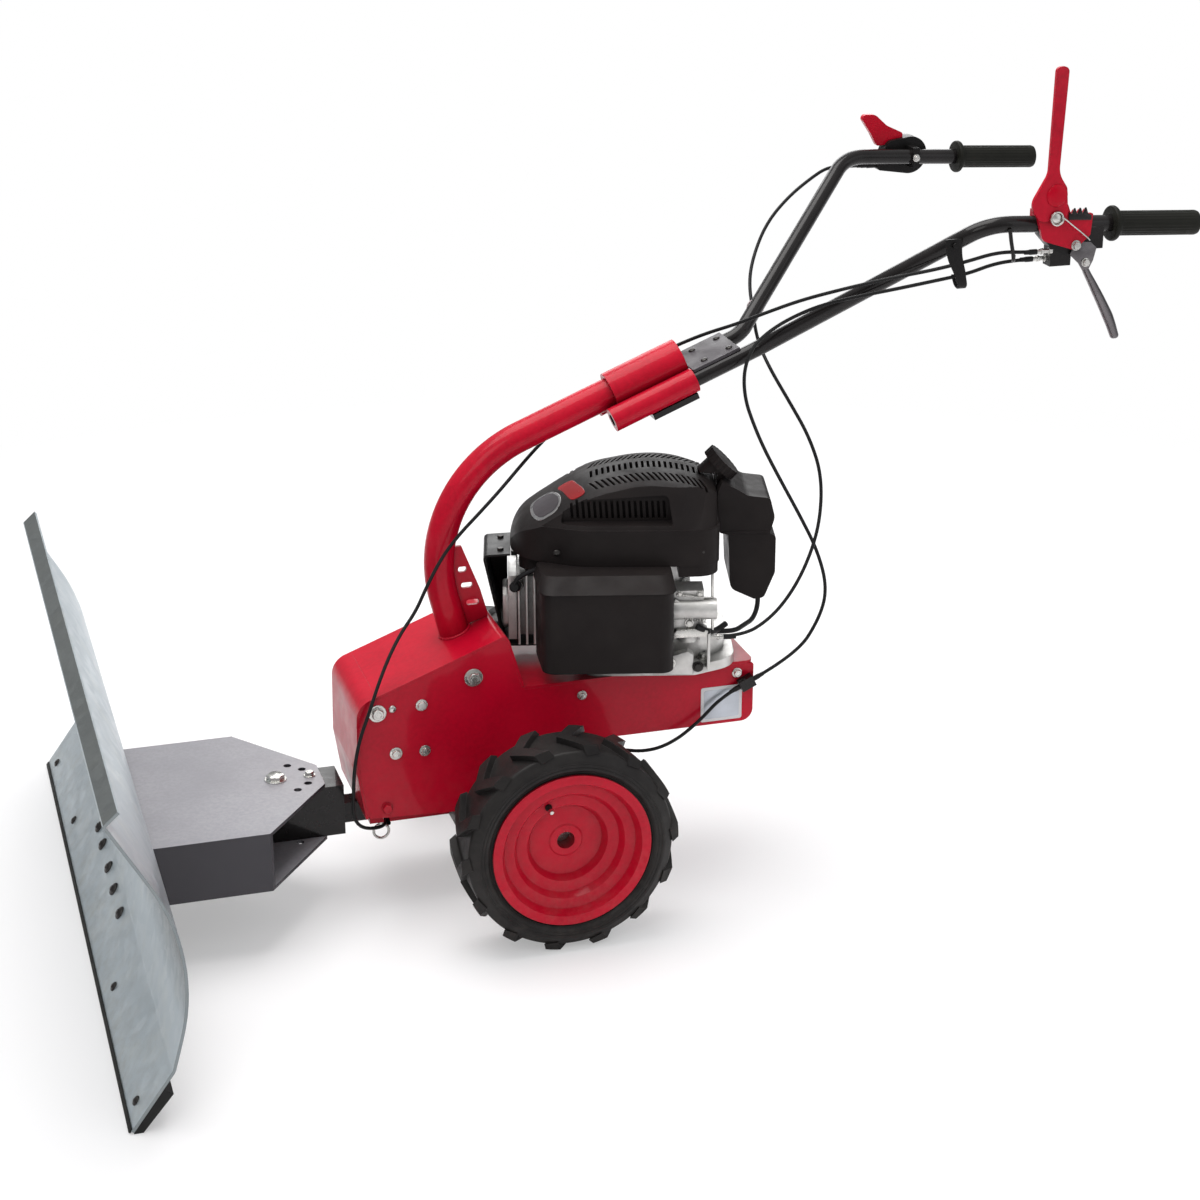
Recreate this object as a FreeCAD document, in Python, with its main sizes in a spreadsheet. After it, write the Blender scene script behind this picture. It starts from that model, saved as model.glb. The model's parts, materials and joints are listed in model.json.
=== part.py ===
"""Walk-behind two-wheel tractor with a swivelling front snow blade.

Millimetres. +X points forward, +Y to the machine's left and +Z up. Every sub-part is drawn with
X = 0 at the wheel axle and then moved forward by axle_forward, so that the origin lies on the
floor under the middle of the machine.
"""
import FreeCAD, Part
import math
import os
import Sketcher
from FreeCAD import Placement, Rotation, Vector

# Driving dimensions: sheet alias, value and what it sizes.
SIZES = [
    ("axle_forward", 123.35, "wheel axle ahead of the origin"),
    # wheels
    ("wheel_radius", 152.5, "over the lugs"),
    ("lug_height", 9.0, "lug above the tyre's carcass"),
    ("lug_width", 21.0, "lug bar, round the tyre"),
    ("lug_count", 14.0, "chevrons round the tyre"),
    ("lug_sweep", 34.0, "how far a lug trails from middle to shoulder"),
    ("tyre_width", 86.0, "across the side walls"),
    ("track_outer", 277.0, "tyre's outer face from the middle plane"),
    ("rim_flange", 111.0, "radius of the rim's lip"),
    ("rim_barrel", 98.0, "radius that the tyre's bead sits on"),
    ("rim_skin", 3.0, "pressed steel of the rim"),
    ("dish_depth", 37.0, "hub disc inside the rim's lip"),
    ("dish_outer", 92.0, "radius of the dish's first step"),
    ("dish_middle", 75.0, "radius of the dish's second step"),
    ("dish_inner", 54.0, "radius of the hub disc"),
    ("hub_radius", 24.0, "outside of the hub tube"),
    ("hub_length", 76.5, "hub tube along the axle"),
    ("hub_nose", 1.5, "hub tube standing out of its disc"),
    ("shaft_radius", 12.5, "wheel shaft and hub bore"),
    ("hub_socket", 25.0, "open bore outside the shaft's end"),
    ("running_clearance", 0.05, "radial, shaft in its bearing"),
    # gear case and frame
    ("case_front", 110.0, "gear case ahead of the axle"),
    ("case_back", 80.0, "gear case behind the axle"),
    ("case_low", 84.0, "underside of the gear case"),
    ("axle_tube", 32.0, "radius of the axle tubes"),
    ("axle_tube_end", 160.0, "axle tube's end from the middle plane"),
    ("frame_half", 87.0, "half width over the side plates"),
    ("frame_skin", 4.0, "sheet steel of the frame"),
    ("tray_top", 318.0, "engine tray's upper face"),
    ("tray_back", 325.0, "tray's rear edge behind the axle"),
    ("tray_drop", 93.0, "depth of the tray's side flange"),
    ("nose_front", 250.0, "front plate's knee ahead of the axle"),
    ("nose_knee", 213.0, "height of the front plate's knee"),
    ("nose_bend", 26.0, "bend from the cover into the front plate"),
    ("nose_top", 324.0, "height of the cover's front edge"),
    ("nose_low", 146.0, "underside of the side plates at the nose"),
    ("cover_front", 222.0, "where the cover's slope starts"),
    ("cover_back", 40.0, "where the cover's slope ends"),
    ("cover_rise", 69.0, "height gained along the cover's slope"),
    # column and handlebars
    ("column_radius", 21.0, "steering column tube"),
    ("column_wall", 3.0, "wall of the column tube"),
    ("column_foot", 91.7, "column's foot ahead of the axle"),
    ("column_lean", 13.9, "degrees forward at the foot"),
    ("column_slope", 22.0, "degrees up towards the handles"),
    ("column_knee_x", 145.9, "corner of the column's centre line"),
    ("column_knee_z", 591.8, "corner of the column's centre line"),
    ("column_bend", 191.0, "bend radius of the column"),
    ("column_reach", 238.0, "column's end behind the axle"),
    ("gusset_skin", 5.0, "plate behind the column's foot"),
    ("gusset_height", 112.0, "along the column"),
    ("gusset_slot", 8.0, "slots in the gusset, high"),
    ("sleeve_radius", 17.0, "handlebar sleeve"),
    ("sleeve_length", 128.0, "handlebar sleeves and collar"),
    ("sleeve_side", 38.0, "sleeve from the middle plane"),
    ("sleeve_drop", 23.5, "sleeve below the column's centre line"),
    ("collar_radius", 28.0, "collar round the column's end"),
    ("collar_start", 18.0, "collar's lower end above the sleeves' ends"),
    ("handle_radius", 11.0, "handlebar tube"),
    ("handle_wall", 2.0, "wall of the handlebar tube"),
    ("handle_elbow_x", 340.0, "where the handlebars spread, behind the axle"),
    ("handle_bend_x", 577.0, "where the handlebars turn level, behind the axle"),
    ("handle_bend_z", 963.0, "height of that bend"),
    ("handle_end_x", 880.0, "handlebar's end behind the axle"),
    ("handle_end_z", 947.0, "height of the handlebar's end"),
    ("handle_spread", 244.0, "half width between the grips"),
    ("grip_length", 131.0, "rubber grip"),
    ("grip_radius", 16.5, "rubber grip"),
    # arm and coupling
    ("arm_top", 183.0, "upper face of the arm"),
    ("arm_low", 97.0, "lower face of the arm"),
    ("arm_skin", 5.0, "plate of the arm"),
    ("arm_front", 551.0, "arm's front edge ahead of the axle"),
    ("arm_shoulder", 390.0, "where the arm starts to narrow"),
    ("arm_half", 166.0, "half width of the arm"),
    ("arm_tip", 290.0, "arm's rear tip ahead of the axle"),
    ("arm_tip_half", 32.0, "half width of the tip"),
    ("pivot_x", 354.0, "swivel pin ahead of the axle"),
    ("pivot_radius", 10.0, "swivel pin"),
    ("index_radius", 48.0, "ring of index holes round the pivot"),
    ("index_step", 30.0, "degrees between the index holes"),
    ("index_hole", 5.5, "radius of an index hole"),
    ("coupling_skin", 7.0, "plate of the coupling"),
    ("coupling_back", 264.0, "coupling's upright plate ahead of the axle"),
    ("coupling_half", 34.0, "half width of the coupling"),
    ("swivel_clearance", 0.4, "between the arm's plates and the coupling"),
    ("bar_side", 30.0, "square coupling bar"),
    ("bar_height", 125.0, "middle of the coupling bar"),
    ("bar_back", 150.0, "coupling bar's rear end ahead of the axle"),
    ("socket_wall", 5.0, "wall of the coupling socket"),
    ("socket_front", 226.0, "coupling socket's mouth ahead of the axle"),
    # blade
    ("blade_half", 550.0, "half length of the blade"),
    ("blade_skin", 4.0, "sheet of the blade"),
    ("blade_lip_x", 633.0, "cutting lip ahead of the axle"),
    ("blade_lip_z", 4.0, "height of the cutting lip"),
    ("blade_fold_x", 579.0, "fold above the lip"),
    ("blade_fold_z", 78.0, "fold above the lip"),
    ("blade_belly_x", 537.0, "corner behind the blade's round belly"),
    ("blade_belly_z", 228.0, "corner behind the blade's round belly"),
    ("blade_belly", 272.0, "radius of the blade's belly"),
    ("blade_top_x", 639.0, "top edge ahead of the axle"),
    ("blade_top_z", 410.0, "height of the top edge"),
    ("flange_x", 19.0, "top flange folded back"),
    ("flange_z", 17.0, "top flange folded up"),
    ("strip_skin", 14.0, "rubber strip"),
    ("strip_width", 66.0, "rubber strip across"),
    # engine, in its own frame on the tray
    ("engine_x", 165.0, "crankshaft behind the axle"),
    ("engine_turn", 15.0, "degrees that the engine is turned on the tray"),
    ("foot_half", 97.0, "half width of the engine's foot"),
    ("foot_back", 148.0, "foot behind the crankshaft"),
    ("foot_height", 14.0, "thickness of the foot"),
    ("crankcase_radius", 78.0, "crankcase under the cowl"),
    ("cylinder_half", 48.0, "half width over the fins"),
    ("cylinder_low", 30.0, "underside of the fins"),
    ("cylinder_top", 138.0, "top of the fins"),
    ("head_front", 172.0, "cylinder head ahead of the crankshaft"),
    ("fin_count", 7.0, "cooling fins"),
    ("fin_pitch", 11.0, "from fin to fin"),
    ("fin_skin", 3.5, "thickness of a fin"),
    ("cowl_low", 166.0, "lower edge of the cowl"),
    ("cowl_lip", 218.0, "lip round the cowl, under the dome"),
    ("cowl_front", 168.0, "cowl's nose ahead of the crankshaft"),
    ("cowl_back", 122.0, "cowl's back behind the crankshaft"),
    ("cowl_half", 104.0, "half width of the cowl"),
    ("loft_top", 300.0, "where the dome's sides would meet their inner outline"),
    ("dome_axis", 100.0, "line under the tray that the dome's crown is turned about"),
    ("louvre_pitch", 8.0, "from slot to slot"),
    ("louvre_width", 3.6, "width of a slot"),
    ("louvre_floor", 252.0, "floor of the slots in the crown"),
    ("flank_half", 76.0, "floor of the recess in each flank"),
    ("flank_depth", 10.0, "slots below the recess"),
    ("crown_louvres", 20.0, "slots in each row of the crown"),
    ("flank_louvres", 17.0, "slots in each flank"),
    ("box_low", 32.0, "underside of the air box"),
    ("box_front", 124.0, "air box ahead of the crankshaft"),
    ("box_back", 56.0, "air box behind the crankshaft"),
    ("box_inner", 80.0, "air box's inner face"),
    ("box_outer", 165.0, "air box's outer face"),
    ("lid_height", 18.0, "height of its lid"),
    ("tank_side", 35.0, "tank's left face"),
    ("tank_width", 105.0, "across the tank"),
    ("cap_radius", 27.0, "filler cap"),
    ("cap_height", 14.0, "filler cap"),
    ("cap_tilt", 45.0, "degrees that the filler leans back"),
    ("cap_ribs", 20.0, "finger grooves round the cap"),
    ("guard_skin", 3.0, "sheet steel of the exhaust guard"),
    ("guard_half", 45.0, "half width of the exhaust guard"),
    # controls
    ("lever_skin", 5.0, "flat stock of the levers"),
    ("lever_top", 1166.0, "height of the drive lever"),
    ("throttle_depth", 24.0, "throttle housing across"),
    ("clamp_skin", 4.0, "plate on the handlebars"),
    ("cable_radius", 2.5, "control cables"),
    ("hose_radius", 3.5, "fuel hose"),
]


class Size:
    """A number together with the sheet expression that it comes from."""

    def __init__(self, value, formula):
        self.value = value
        self.formula = formula

    def __add__(self, other):
        return Size(self.value + number(other), f"({self.formula} + {formula(other)})")

    def __radd__(self, other):
        return Size(number(other) + self.value, f"({formula(other)} + {self.formula})")

    def __sub__(self, other):
        return Size(self.value - number(other), f"({self.formula} - {formula(other)})")

    def __rsub__(self, other):
        return Size(number(other) - self.value, f"({formula(other)} - {self.formula})")

    def __mul__(self, other):
        return Size(self.value * number(other), f"({self.formula} * {formula(other)})")

    __rmul__ = __mul__

    def __truediv__(self, other):
        return Size(self.value / number(other), f"({self.formula} / {formula(other)})")

    def __rtruediv__(self, other):
        return Size(number(other) / self.value, f"({formula(other)} / {self.formula})")

    def __neg__(self):
        return Size(-self.value, f"(0 - {self.formula})")


def number(size):
    return size.value if isinstance(size, Size) else float(size)


def formula(size):
    return size.formula if isinstance(size, Size) else repr(float(size))


def sine(angle):
    return Size(math.sin(math.radians(number(angle))), f"sin({formula(angle)})")


def cosine(angle):
    return Size(math.cos(math.radians(number(angle))), f"cos({formula(angle)})")


def arctangent(ratio):
    return Size(math.degrees(math.atan(number(ratio))), f"(atan({formula(ratio)}) / 1 deg)")


def tangent(angle):
    return Size(math.tan(math.radians(number(angle))), f"tan({formula(angle)})")


doc = FreeCAD.newDocument("two_wheel_tractor")
sheet = doc.addObject("Spreadsheet::Sheet", "Sizes")


class Dimensions:
    """Every driving dimension, as an attribute."""


dim = Dimensions()
for row, (alias, value, meaning) in enumerate(SIZES, start=1):
    sheet.set(f"A{row}", alias)
    sheet.set(f"B{row}", str(value))
    sheet.setAlias(f"B{row}", alias)
    sheet.set(f"C{row}", meaning)
    setattr(dim, alias, Size(value, f"Sizes.{alias}"))
doc.recompute()

parts = []          # the finished sub-parts, each with its own Label


# ---------------------------------------------------------------- helpers

def bind(feature, path, size):
    """Tie one property or constraint to the sheet."""
    if isinstance(size, Size):
        feature.setExpression(path, size.formula)


def measure(feature, **sizes):
    """Set length properties and tie them to the sheet."""
    for name, size in sizes.items():
        setattr(feature, name, number(size))
        bind(feature, name, size)


def seat(feature, x=0, y=0, z=0, about=None, angle=0):
    """Place a feature and tie its place to the sheet; about is the axis it is turned round."""
    turn = Rotation(about, number(angle)) if about else Rotation()
    feature.Placement = Placement(Vector(number(x), number(y), number(z)), turn)
    for name, size in (("x", x), ("y", y), ("z", z)):
        bind(feature, f"Placement.Base.{name}", size)
    if about:
        bind(feature, "Placement.Rotation.Angle", angle)
    return feature


def publish(feature, name, x=0, y=0, z=0, about=None, angle=0):
    """Make a feature a sub-part: name it and move it from the axle's frame into the machine's."""
    feature.Label = name
    seat(feature, dim.axle_forward + x, y, z, about, angle)
    parts.append(feature)
    return feature


def mirror(feature, name):
    """The same piece on the machine's other side."""
    copy = doc.addObject("Part::Mirroring", name)
    copy.Source = feature
    copy.Base = Vector(0, 0, 0)
    copy.Normal = Vector(0, 1, 0)
    copy.Label = name
    parts.append(copy)
    return copy


def block(name, x, y, z):
    """A box between two opposite corners, each given as a (low, high) pair."""
    box = doc.addObject("Part::Box", name)
    measure(box, Length=x[1] - x[0], Width=y[1] - y[0], Height=z[1] - z[0])
    return seat(box, x[0], y[0], z[0])


DIRECTIONS = {"x": (Vector(0, 1, 0), 90), "y": (Vector(1, 0, 0), -90), "z": (None, 0)}


def rod(name, direction, start, radius, length):
    """A round bar from start along an axis."""
    cylinder = doc.addObject("Part::Cylinder", name)
    measure(cylinder, Radius=radius, Height=length)
    about, angle = DIRECTIONS[direction]
    return seat(cylinder, *start, about, angle)


def sloped_rod(name, x, y, z, radius, length):
    """A round bar that rises towards the rear at the column's slope."""
    cylinder = doc.addObject("Part::Cylinder", name)
    measure(cylinder, Radius=radius, Height=length)
    return seat(cylinder, x, y, z, Vector(0, -1, 0), 90 - dim.column_slope)


def fuse(name, pieces):
    joined = doc.addObject("Part::MultiFuse", name)
    joined.Shapes = pieces
    return joined


def group(name, pieces):
    """Keep pieces as they are under one placement."""
    together = doc.addObject("Part::Compound", name)
    together.Links = pieces
    return together


def cut(name, base, tools):
    result = doc.addObject("Part::Cut", name)
    result.Base = base
    result.Tool = tools[0] if len(tools) == 1 else fuse(name + "_tools", tools)
    return result


def new_body(name):
    return doc.addObject("PartDesign::Body", name)


def sketch_on(body, role, offset=0, shift=0):
    """A sketch on one of the body's own origin planes, or parallel to it; shift moves it up."""
    plane = [item for item in body.Origin.OriginFeatures if item.Role == role][0]
    sketch = body.newObject("Sketcher::SketchObject", body.Name + "_sketch")
    sketch.AttachmentSupport = [(plane, "")]
    sketch.MapMode = "FlatFace"
    if number(offset) or number(shift):
        sketch.AttachmentOffset = Placement(Vector(0, number(shift), number(offset)), Rotation())
        bind(sketch, "AttachmentOffset.Base.y", shift)
        bind(sketch, "AttachmentOffset.Base.z", offset)
    return sketch


def pin_point(sketch, geometry, end, u, v):
    """Fix one sketch point at (u, v)."""
    for kind, size in (("DistanceX", u), ("DistanceY", v)):
        index = sketch.addConstraint(Sketcher.Constraint(kind, -1, 1, geometry, end, number(size)))
        bind(sketch, f"Constraints[{index}]", size)


def corner_arc(before, corner, after, radius):
    """Where an arc that rounds a corner starts and ends, and its centre."""
    back = (before - corner).normalize()
    ahead = (after - corner).normalize()
    half = back.getAngle(ahead) / 2
    run = radius / math.tan(half)
    centre = corner + (back + ahead).normalize() * (radius / math.sin(half))
    return corner + back * run, corner + ahead * run, centre


def add_arc(sketch, begin, finish, centre, radius):
    """Draw the arc; says which of its ends comes first."""
    start = math.atan2(begin.y - centre.y, begin.x - centre.x)
    stop = math.atan2(finish.y - centre.y, finish.x - centre.x)
    turns_left = (begin - centre).cross(finish - centre).z > 0
    if not turns_left:
        start, stop = stop, start
    circle = Part.Circle(centre, Vector(0, 0, 1), radius)
    arc = sketch.addGeometry(Part.ArcOfCircle(circle, start, stop), False)
    return arc, (1, 2) if turns_left else (2, 1)


def draw(sketch, corners, closed=True):
    """Draw an outline through corners (u, v), or (u, v, radius) where one is rounded."""
    count = len(corners)
    places = [Vector(number(corner[0]), number(corner[1]), 0) for corner in corners]
    begins, finishes, centres = list(places), list(places), {}
    for i, corner in enumerate(corners):
        if len(corner) > 2:
            ends = corner_arc(places[i - 1], places[i], places[(i + 1) % count], number(corner[2]))
            begins[i], finishes[i], centres[i] = ends
    lines = []
    for i in range(count if closed else count - 1):
        line = Part.LineSegment(finishes[i], begins[(i + 1) % count])
        lines.append(sketch.addGeometry(line, False))
    for i, corner in enumerate(corners):
        before = lines[i - 1] if closed or i > 0 else None
        after = lines[i] if i < len(lines) else None
        if i in centres:
            arc, ends = add_arc(sketch, begins[i], finishes[i], centres[i], number(corner[2]))
            sketch.addConstraint(Sketcher.Constraint("Tangent", before, 2, arc, ends[0]))
            sketch.addConstraint(Sketcher.Constraint("Tangent", arc, ends[1], after, 1))
            radius = sketch.addConstraint(Sketcher.Constraint("Radius", arc, number(corner[2])))
            bind(sketch, f"Constraints[{radius}]", corner[2])
            mark = sketch.addGeometry(Part.Point(places[i]), True)
            sketch.addConstraint(Sketcher.Constraint("PointOnObject", mark, 1, before))
            sketch.addConstraint(Sketcher.Constraint("PointOnObject", mark, 1, after))
            pin_point(sketch, mark, 1, *corner[:2])
        elif before is None:
            pin_point(sketch, after, 1, *corner)
        else:
            if after is not None:
                sketch.addConstraint(Sketcher.Constraint("Coincident", before, 2, after, 1))
            pin_point(sketch, before, 2, *corner)
    return sketch


def draw_circle(sketch, u, v, radius):
    circle = sketch.addGeometry(Part.Circle(Vector(number(u), number(v), 0), Vector(0, 0, 1),
                                            number(radius)), False)
    pin_point(sketch, circle, 3, u, v)
    index = sketch.addConstraint(Sketcher.Constraint("Radius", circle, number(radius)))
    bind(sketch, f"Constraints[{index}]", radius)


def pad(body, sketch, length, midplane=True):
    feature = body.newObject("PartDesign::Pad", body.Name + "_pad")
    feature.Profile = sketch
    feature.Midplane = midplane
    measure(feature, Length=length)
    body.Tip = feature
    return feature


def pocket(body, sketch, length=None, midplane=True, reversed_way=False):
    """Cut a sketch out of the body: through all of it, or to a depth."""
    feature = body.newObject("PartDesign::Pocket", body.Name + "_pocket")
    feature.Profile = sketch
    feature.Midplane = midplane
    feature.Reversed = reversed_way
    if length is None:
        feature.Type = "ThroughAll"
    else:
        measure(feature, Length=length)
    body.Tip = feature
    return feature


def revolve(body, sketch, axis, kind="PartDesign::Revolution"):
    feature = body.newObject(kind, body.Name + "_turned")
    feature.Profile = sketch
    feature.ReferenceAxis = (sketch, [axis])
    feature.Angle = 360
    body.Tip = feature
    return feature


def folded_sheet(name, corners, skin, half_width, side=1):
    """Sheet metal: an open line in the middle plane, given a thickness and a width."""
    line = doc.addObject("Sketcher::SketchObject", name + "_line")
    line.Placement = Placement(Vector(0, 0, 0), Rotation(Vector(1, 0, 0), 90))
    draw(line, corners, closed=False)
    section = doc.addObject("Part::Offset2D", name + "_section")
    section.Source = line
    section.Mode = "Skin"
    section.Join = "Intersection"
    section.Fill = True
    measure(section, Value=skin * side)
    sheet_metal = doc.addObject("Part::Extrusion", name)
    sheet_metal.Base = section
    sheet_metal.DirMode = "Normal"
    sheet_metal.Solid = True
    sheet_metal.Symmetric = True
    measure(sheet_metal, LengthFwd=half_width * 2)
    return sheet_metal


def rounded_path(points, radii):
    """A wire of straight runs joined by tangent arcs; radii are for the inner points."""
    edges, last = [], points[0]
    for i, radius in enumerate(radii, start=1):
        begin, finish, centre = corner_arc(points[i - 1], points[i], points[i + 1], radius)
        middle = centre + (points[i] - centre).normalize() * radius
        edges.append(Part.LineSegment(last, begin).toShape())
        edges.append(Part.Arc(begin, middle, finish).toShape())
        last = finish
    edges.append(Part.LineSegment(last, points[-1]).toShape())
    return Part.Wire(edges)


def sweep_round(wire, points, radius):
    """A round solid along the wire, its volume checked."""
    ring = Part.Wire(Part.makeCircle(radius, points[0], points[1] - points[0]))
    solid = wire.makePipeShell([ring], True, False)
    expected = math.pi * radius ** 2 * wire.Length
    if not solid.isValid() or abs(solid.Volume / expected - 1) > 0.01:
        raise RuntimeError(f"sweep of radius {radius} has volume {solid.Volume}, not {expected}")
    return solid


def tube(name, points, radii, radius, wall=0):
    """A bent tube or bar along points."""
    wire = rounded_path(points, [number(bend) for bend in radii])
    solid = sweep_round(wire, points, number(radius))
    if wall:
        solid = solid.cut(sweep_round(wire, points, number(radius) - number(wall)))
    feature = doc.addObject("Part::Feature", name)
    feature.Shape = solid
    return feature


def cord(name, route, radius):
    """A cable whose bends are as large as its runs allow."""
    points = [Vector(*(number(value) for value in point)) for point in route]
    radii = []
    for before, corner, after in zip(points, points[1:], points[2:]):
        turn = (corner - before).getAngle(after - corner)
        shorter = min((corner - before).Length, (after - corner).Length)
        radii.append(0.45 * shorter / math.tan(turn / 2))
    feature = tube(name, points, radii, radius)
    runs = [(b - a).Length for a, b in zip(points, points[1:])]
    print(f"{name}: length {feature.Shape.Volume / (math.pi * number(radius) ** 2):.0f}, "
          f"runs {min(runs):.0f} to {max(runs):.0f}, "
          f"radii {', '.join(f'{bend:.0f}' for bend in radii)}")
    return publish(feature, name)


# ---------------------------------------------------------------- wheels

def build_tyre():
    """Carcass of revolution, then chevron lugs, trimmed to the rolling radius."""
    tyre = new_body("tyre_left")
    half = dim.tyre_width / 2
    bead = half - 6
    carcass = dim.wheel_radius - dim.lug_height
    wall_low = dim.rim_flange + (carcass - dim.rim_flange) * 0.26
    wall_top = carcass - (carcass - dim.rim_flange) * 0.41
    section = sketch_on(tyre, "YZ_Plane")
    draw(section, [(-bead, dim.rim_barrel), (-bead, dim.rim_flange + 2), (-half, wall_low, 4),
                   (-half, wall_top, 5), (8 - half, carcass, 5), (half - 8, carcass, 5),
                   (half, wall_top, 5), (half, wall_low, 4), (bead, dim.rim_flange + 2),
                   (bead, dim.rim_barrel)])
    revolve(tyre, section, "H_Axis")
    sunk = 6
    bar = sketch_on(tyre, "XY_Plane", carcass - sunk)
    lead = dim.lug_width / 2
    trail = dim.lug_sweep
    draw(bar, [(lead, 0), (lead - trail, half), (-lead - trail, half), (-lead, 0),
               (-lead - trail, -half), (lead - trail, -half)])
    lug = pad(tyre, bar, dim.lug_height + sunk + 6, midplane=False)
    ring = tyre.newObject("PartDesign::PolarPattern", "tyre_lugs")
    ring.Originals = [lug]
    ring.Axis = (section, ["H_Axis"])
    ring.Angle = 360
    ring.Occurrences = int(dim.lug_count.value)
    bind(ring, "Occurrences", dim.lug_count)
    tyre.Tip = ring
    trim = sketch_on(tyre, "YZ_Plane")
    beyond = dim.wheel_radius + 20
    draw(trim, [(-half - 5, dim.wheel_radius), (half + 5, dim.wheel_radius),
                (half + 5, beyond), (-half - 5, beyond)])
    revolve(tyre, trim, "H_Axis", "PartDesign::Groove")
    shoulder = sketch_on(tyre, "YZ_Plane")
    draw(shoulder, [(half - 9, beyond), (half - 9, dim.wheel_radius), (half, wall_top),
                    (half + 9, wall_top), (half + 9, beyond)])
    revolve(tyre, shoulder, "H_Axis", "PartDesign::Groove")
    far_shoulder = sketch_on(tyre, "YZ_Plane")
    draw(far_shoulder, [(9 - half, beyond), (9 - half, dim.wheel_radius), (-half, wall_top),
                        (-half - 9, wall_top), (-half - 9, beyond)])
    revolve(tyre, far_shoulder, "H_Axis", "PartDesign::Groove")
    return tyre


def build_rim():
    """Pressed rim with a deep stepped dish, and the hub tube through it."""
    rim = new_body("rim_left")
    lip = dim.tyre_width / 2 - 1
    lip_inner = lip - dim.rim_skin - 1
    disc = lip + 1 - dim.dish_depth
    step = dim.dish_depth / 3
    skin = dim.rim_skin
    nose = disc + dim.hub_nose
    tail = nose - dim.hub_length
    inside = dim.rim_barrel - skin
    section = sketch_on(rim, "YZ_Plane")
    draw(section, [
        (lip, dim.rim_flange), (lip, dim.rim_barrel), (lip - step, dim.dish_outer),
        (lip - step - 2, dim.dish_middle + skin), (disc + step, dim.dish_middle - skin),
        (disc + step - 2, dim.dish_inner + skin), (disc, dim.dish_inner - skin),
        (disc, dim.hub_radius), (nose, dim.hub_radius - 2), (nose, dim.shaft_radius),
        (tail, dim.shaft_radius), (tail, dim.hub_radius), (disc - skin, dim.hub_radius),
        (disc - skin, dim.dish_inner), (disc + step - skin - 2, dim.dish_inner + skin * 2),
        (disc + step - skin, dim.dish_middle), (lip - step - skin - 2, dim.dish_middle + skin * 2),
        (lip - step - skin, inside), (-lip, inside), (-lip, dim.rim_flange),
        (-lip_inner, dim.rim_flange), (-lip_inner, dim.rim_barrel),
        (lip_inner, dim.rim_barrel), (lip_inner, dim.rim_flange)])
    revolve(rim, section, "H_Axis")
    return rim


def build_wheels():
    middle = dim.track_outer - dim.tyre_width / 2
    nose = middle + dim.tyre_width / 2 - dim.dish_depth + dim.hub_nose
    shaft_end = nose - dim.hub_socket
    shaft_start = 20
    shaft = group("shaft_left", [rod("shaft_bar", "y", (0, shaft_start, 0), dim.shaft_radius,
                                     shaft_end - shaft_start)])
    for piece, name, y in ((build_tyre(), "tyre_left", middle), (build_rim(), "rim_left", middle),
                           (shaft, "wheel_shaft_left", 0)):
        publish(piece, name, 0, y, dim.wheel_radius)
        mirror(piece, name.replace("left", "right"))


# ---------------------------------------------------------------- gear case and frame

def build_gear_case():
    """Cast case with its two axle tubes, bored for the wheel shafts."""
    inner_half = dim.frame_half - dim.frame_skin
    case = new_body("case_body")
    section = sketch_on(case, "XZ_Plane")
    top = dim.tray_top - dim.frame_skin
    draw(section, [(dim.case_front, dim.case_low, 25), (dim.case_front, top),
                   (-dim.case_back, top), (-dim.case_back, dim.case_low, 35)])
    pad(case, section, inner_half * 2)
    tube_outside = rod("axle_tubes", "y", (0, -dim.axle_tube_end, dim.wheel_radius),
                       dim.axle_tube, dim.axle_tube_end * 2)
    bore = rod("axle_bore", "y", (0, -dim.axle_tube_end - 1, dim.wheel_radius),
               dim.shaft_radius + dim.running_clearance, dim.axle_tube_end * 2 + 2)
    publish(cut("gear_case", fuse("case_and_tubes", [case, tube_outside]), [bore]), "gear_case")


def cover_slope():
    return dim.cover_rise / (dim.cover_front - dim.cover_back)


def nose_corner():
    """Where the cover's slope and the front plate would meet."""
    x = dim.nose_front - 2
    return x, dim.nose_top - (x - dim.cover_front) * cover_slope()


def build_side_plates():
    plate = new_body("side_plate_left")
    sketch = sketch_on(plate, "XZ_Plane", -dim.frame_half + dim.frame_skin / 2)
    under_tray = dim.tray_top - dim.frame_skin
    flange_low = dim.tray_top - dim.tray_drop
    axle_clear = dim.wheel_radius + dim.axle_tube + 8
    draw(sketch, [
        (*nose_corner(), dim.nose_bend), (dim.nose_front, dim.nose_knee),
        (dim.nose_front - 10, dim.nose_low, 6),
        (dim.axle_tube + 70, dim.nose_low - 6, 20), (dim.axle_tube + 30, axle_clear, 20),
        (-dim.axle_tube - 60, axle_clear + 8), (-dim.axle_tube - 90, flange_low),
        (-dim.tray_back, flange_low, 18), (-dim.tray_back, under_tray, 4), (14, under_tray),
        (14, dim.tray_top), (18, dim.tray_top),
        (dim.cover_back, dim.nose_top + dim.cover_rise, 6)])
    pad(plate, sketch, dim.frame_skin)
    publish(plate, "side_plate_left")
    mirror(plate, "side_plate_right")


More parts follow.
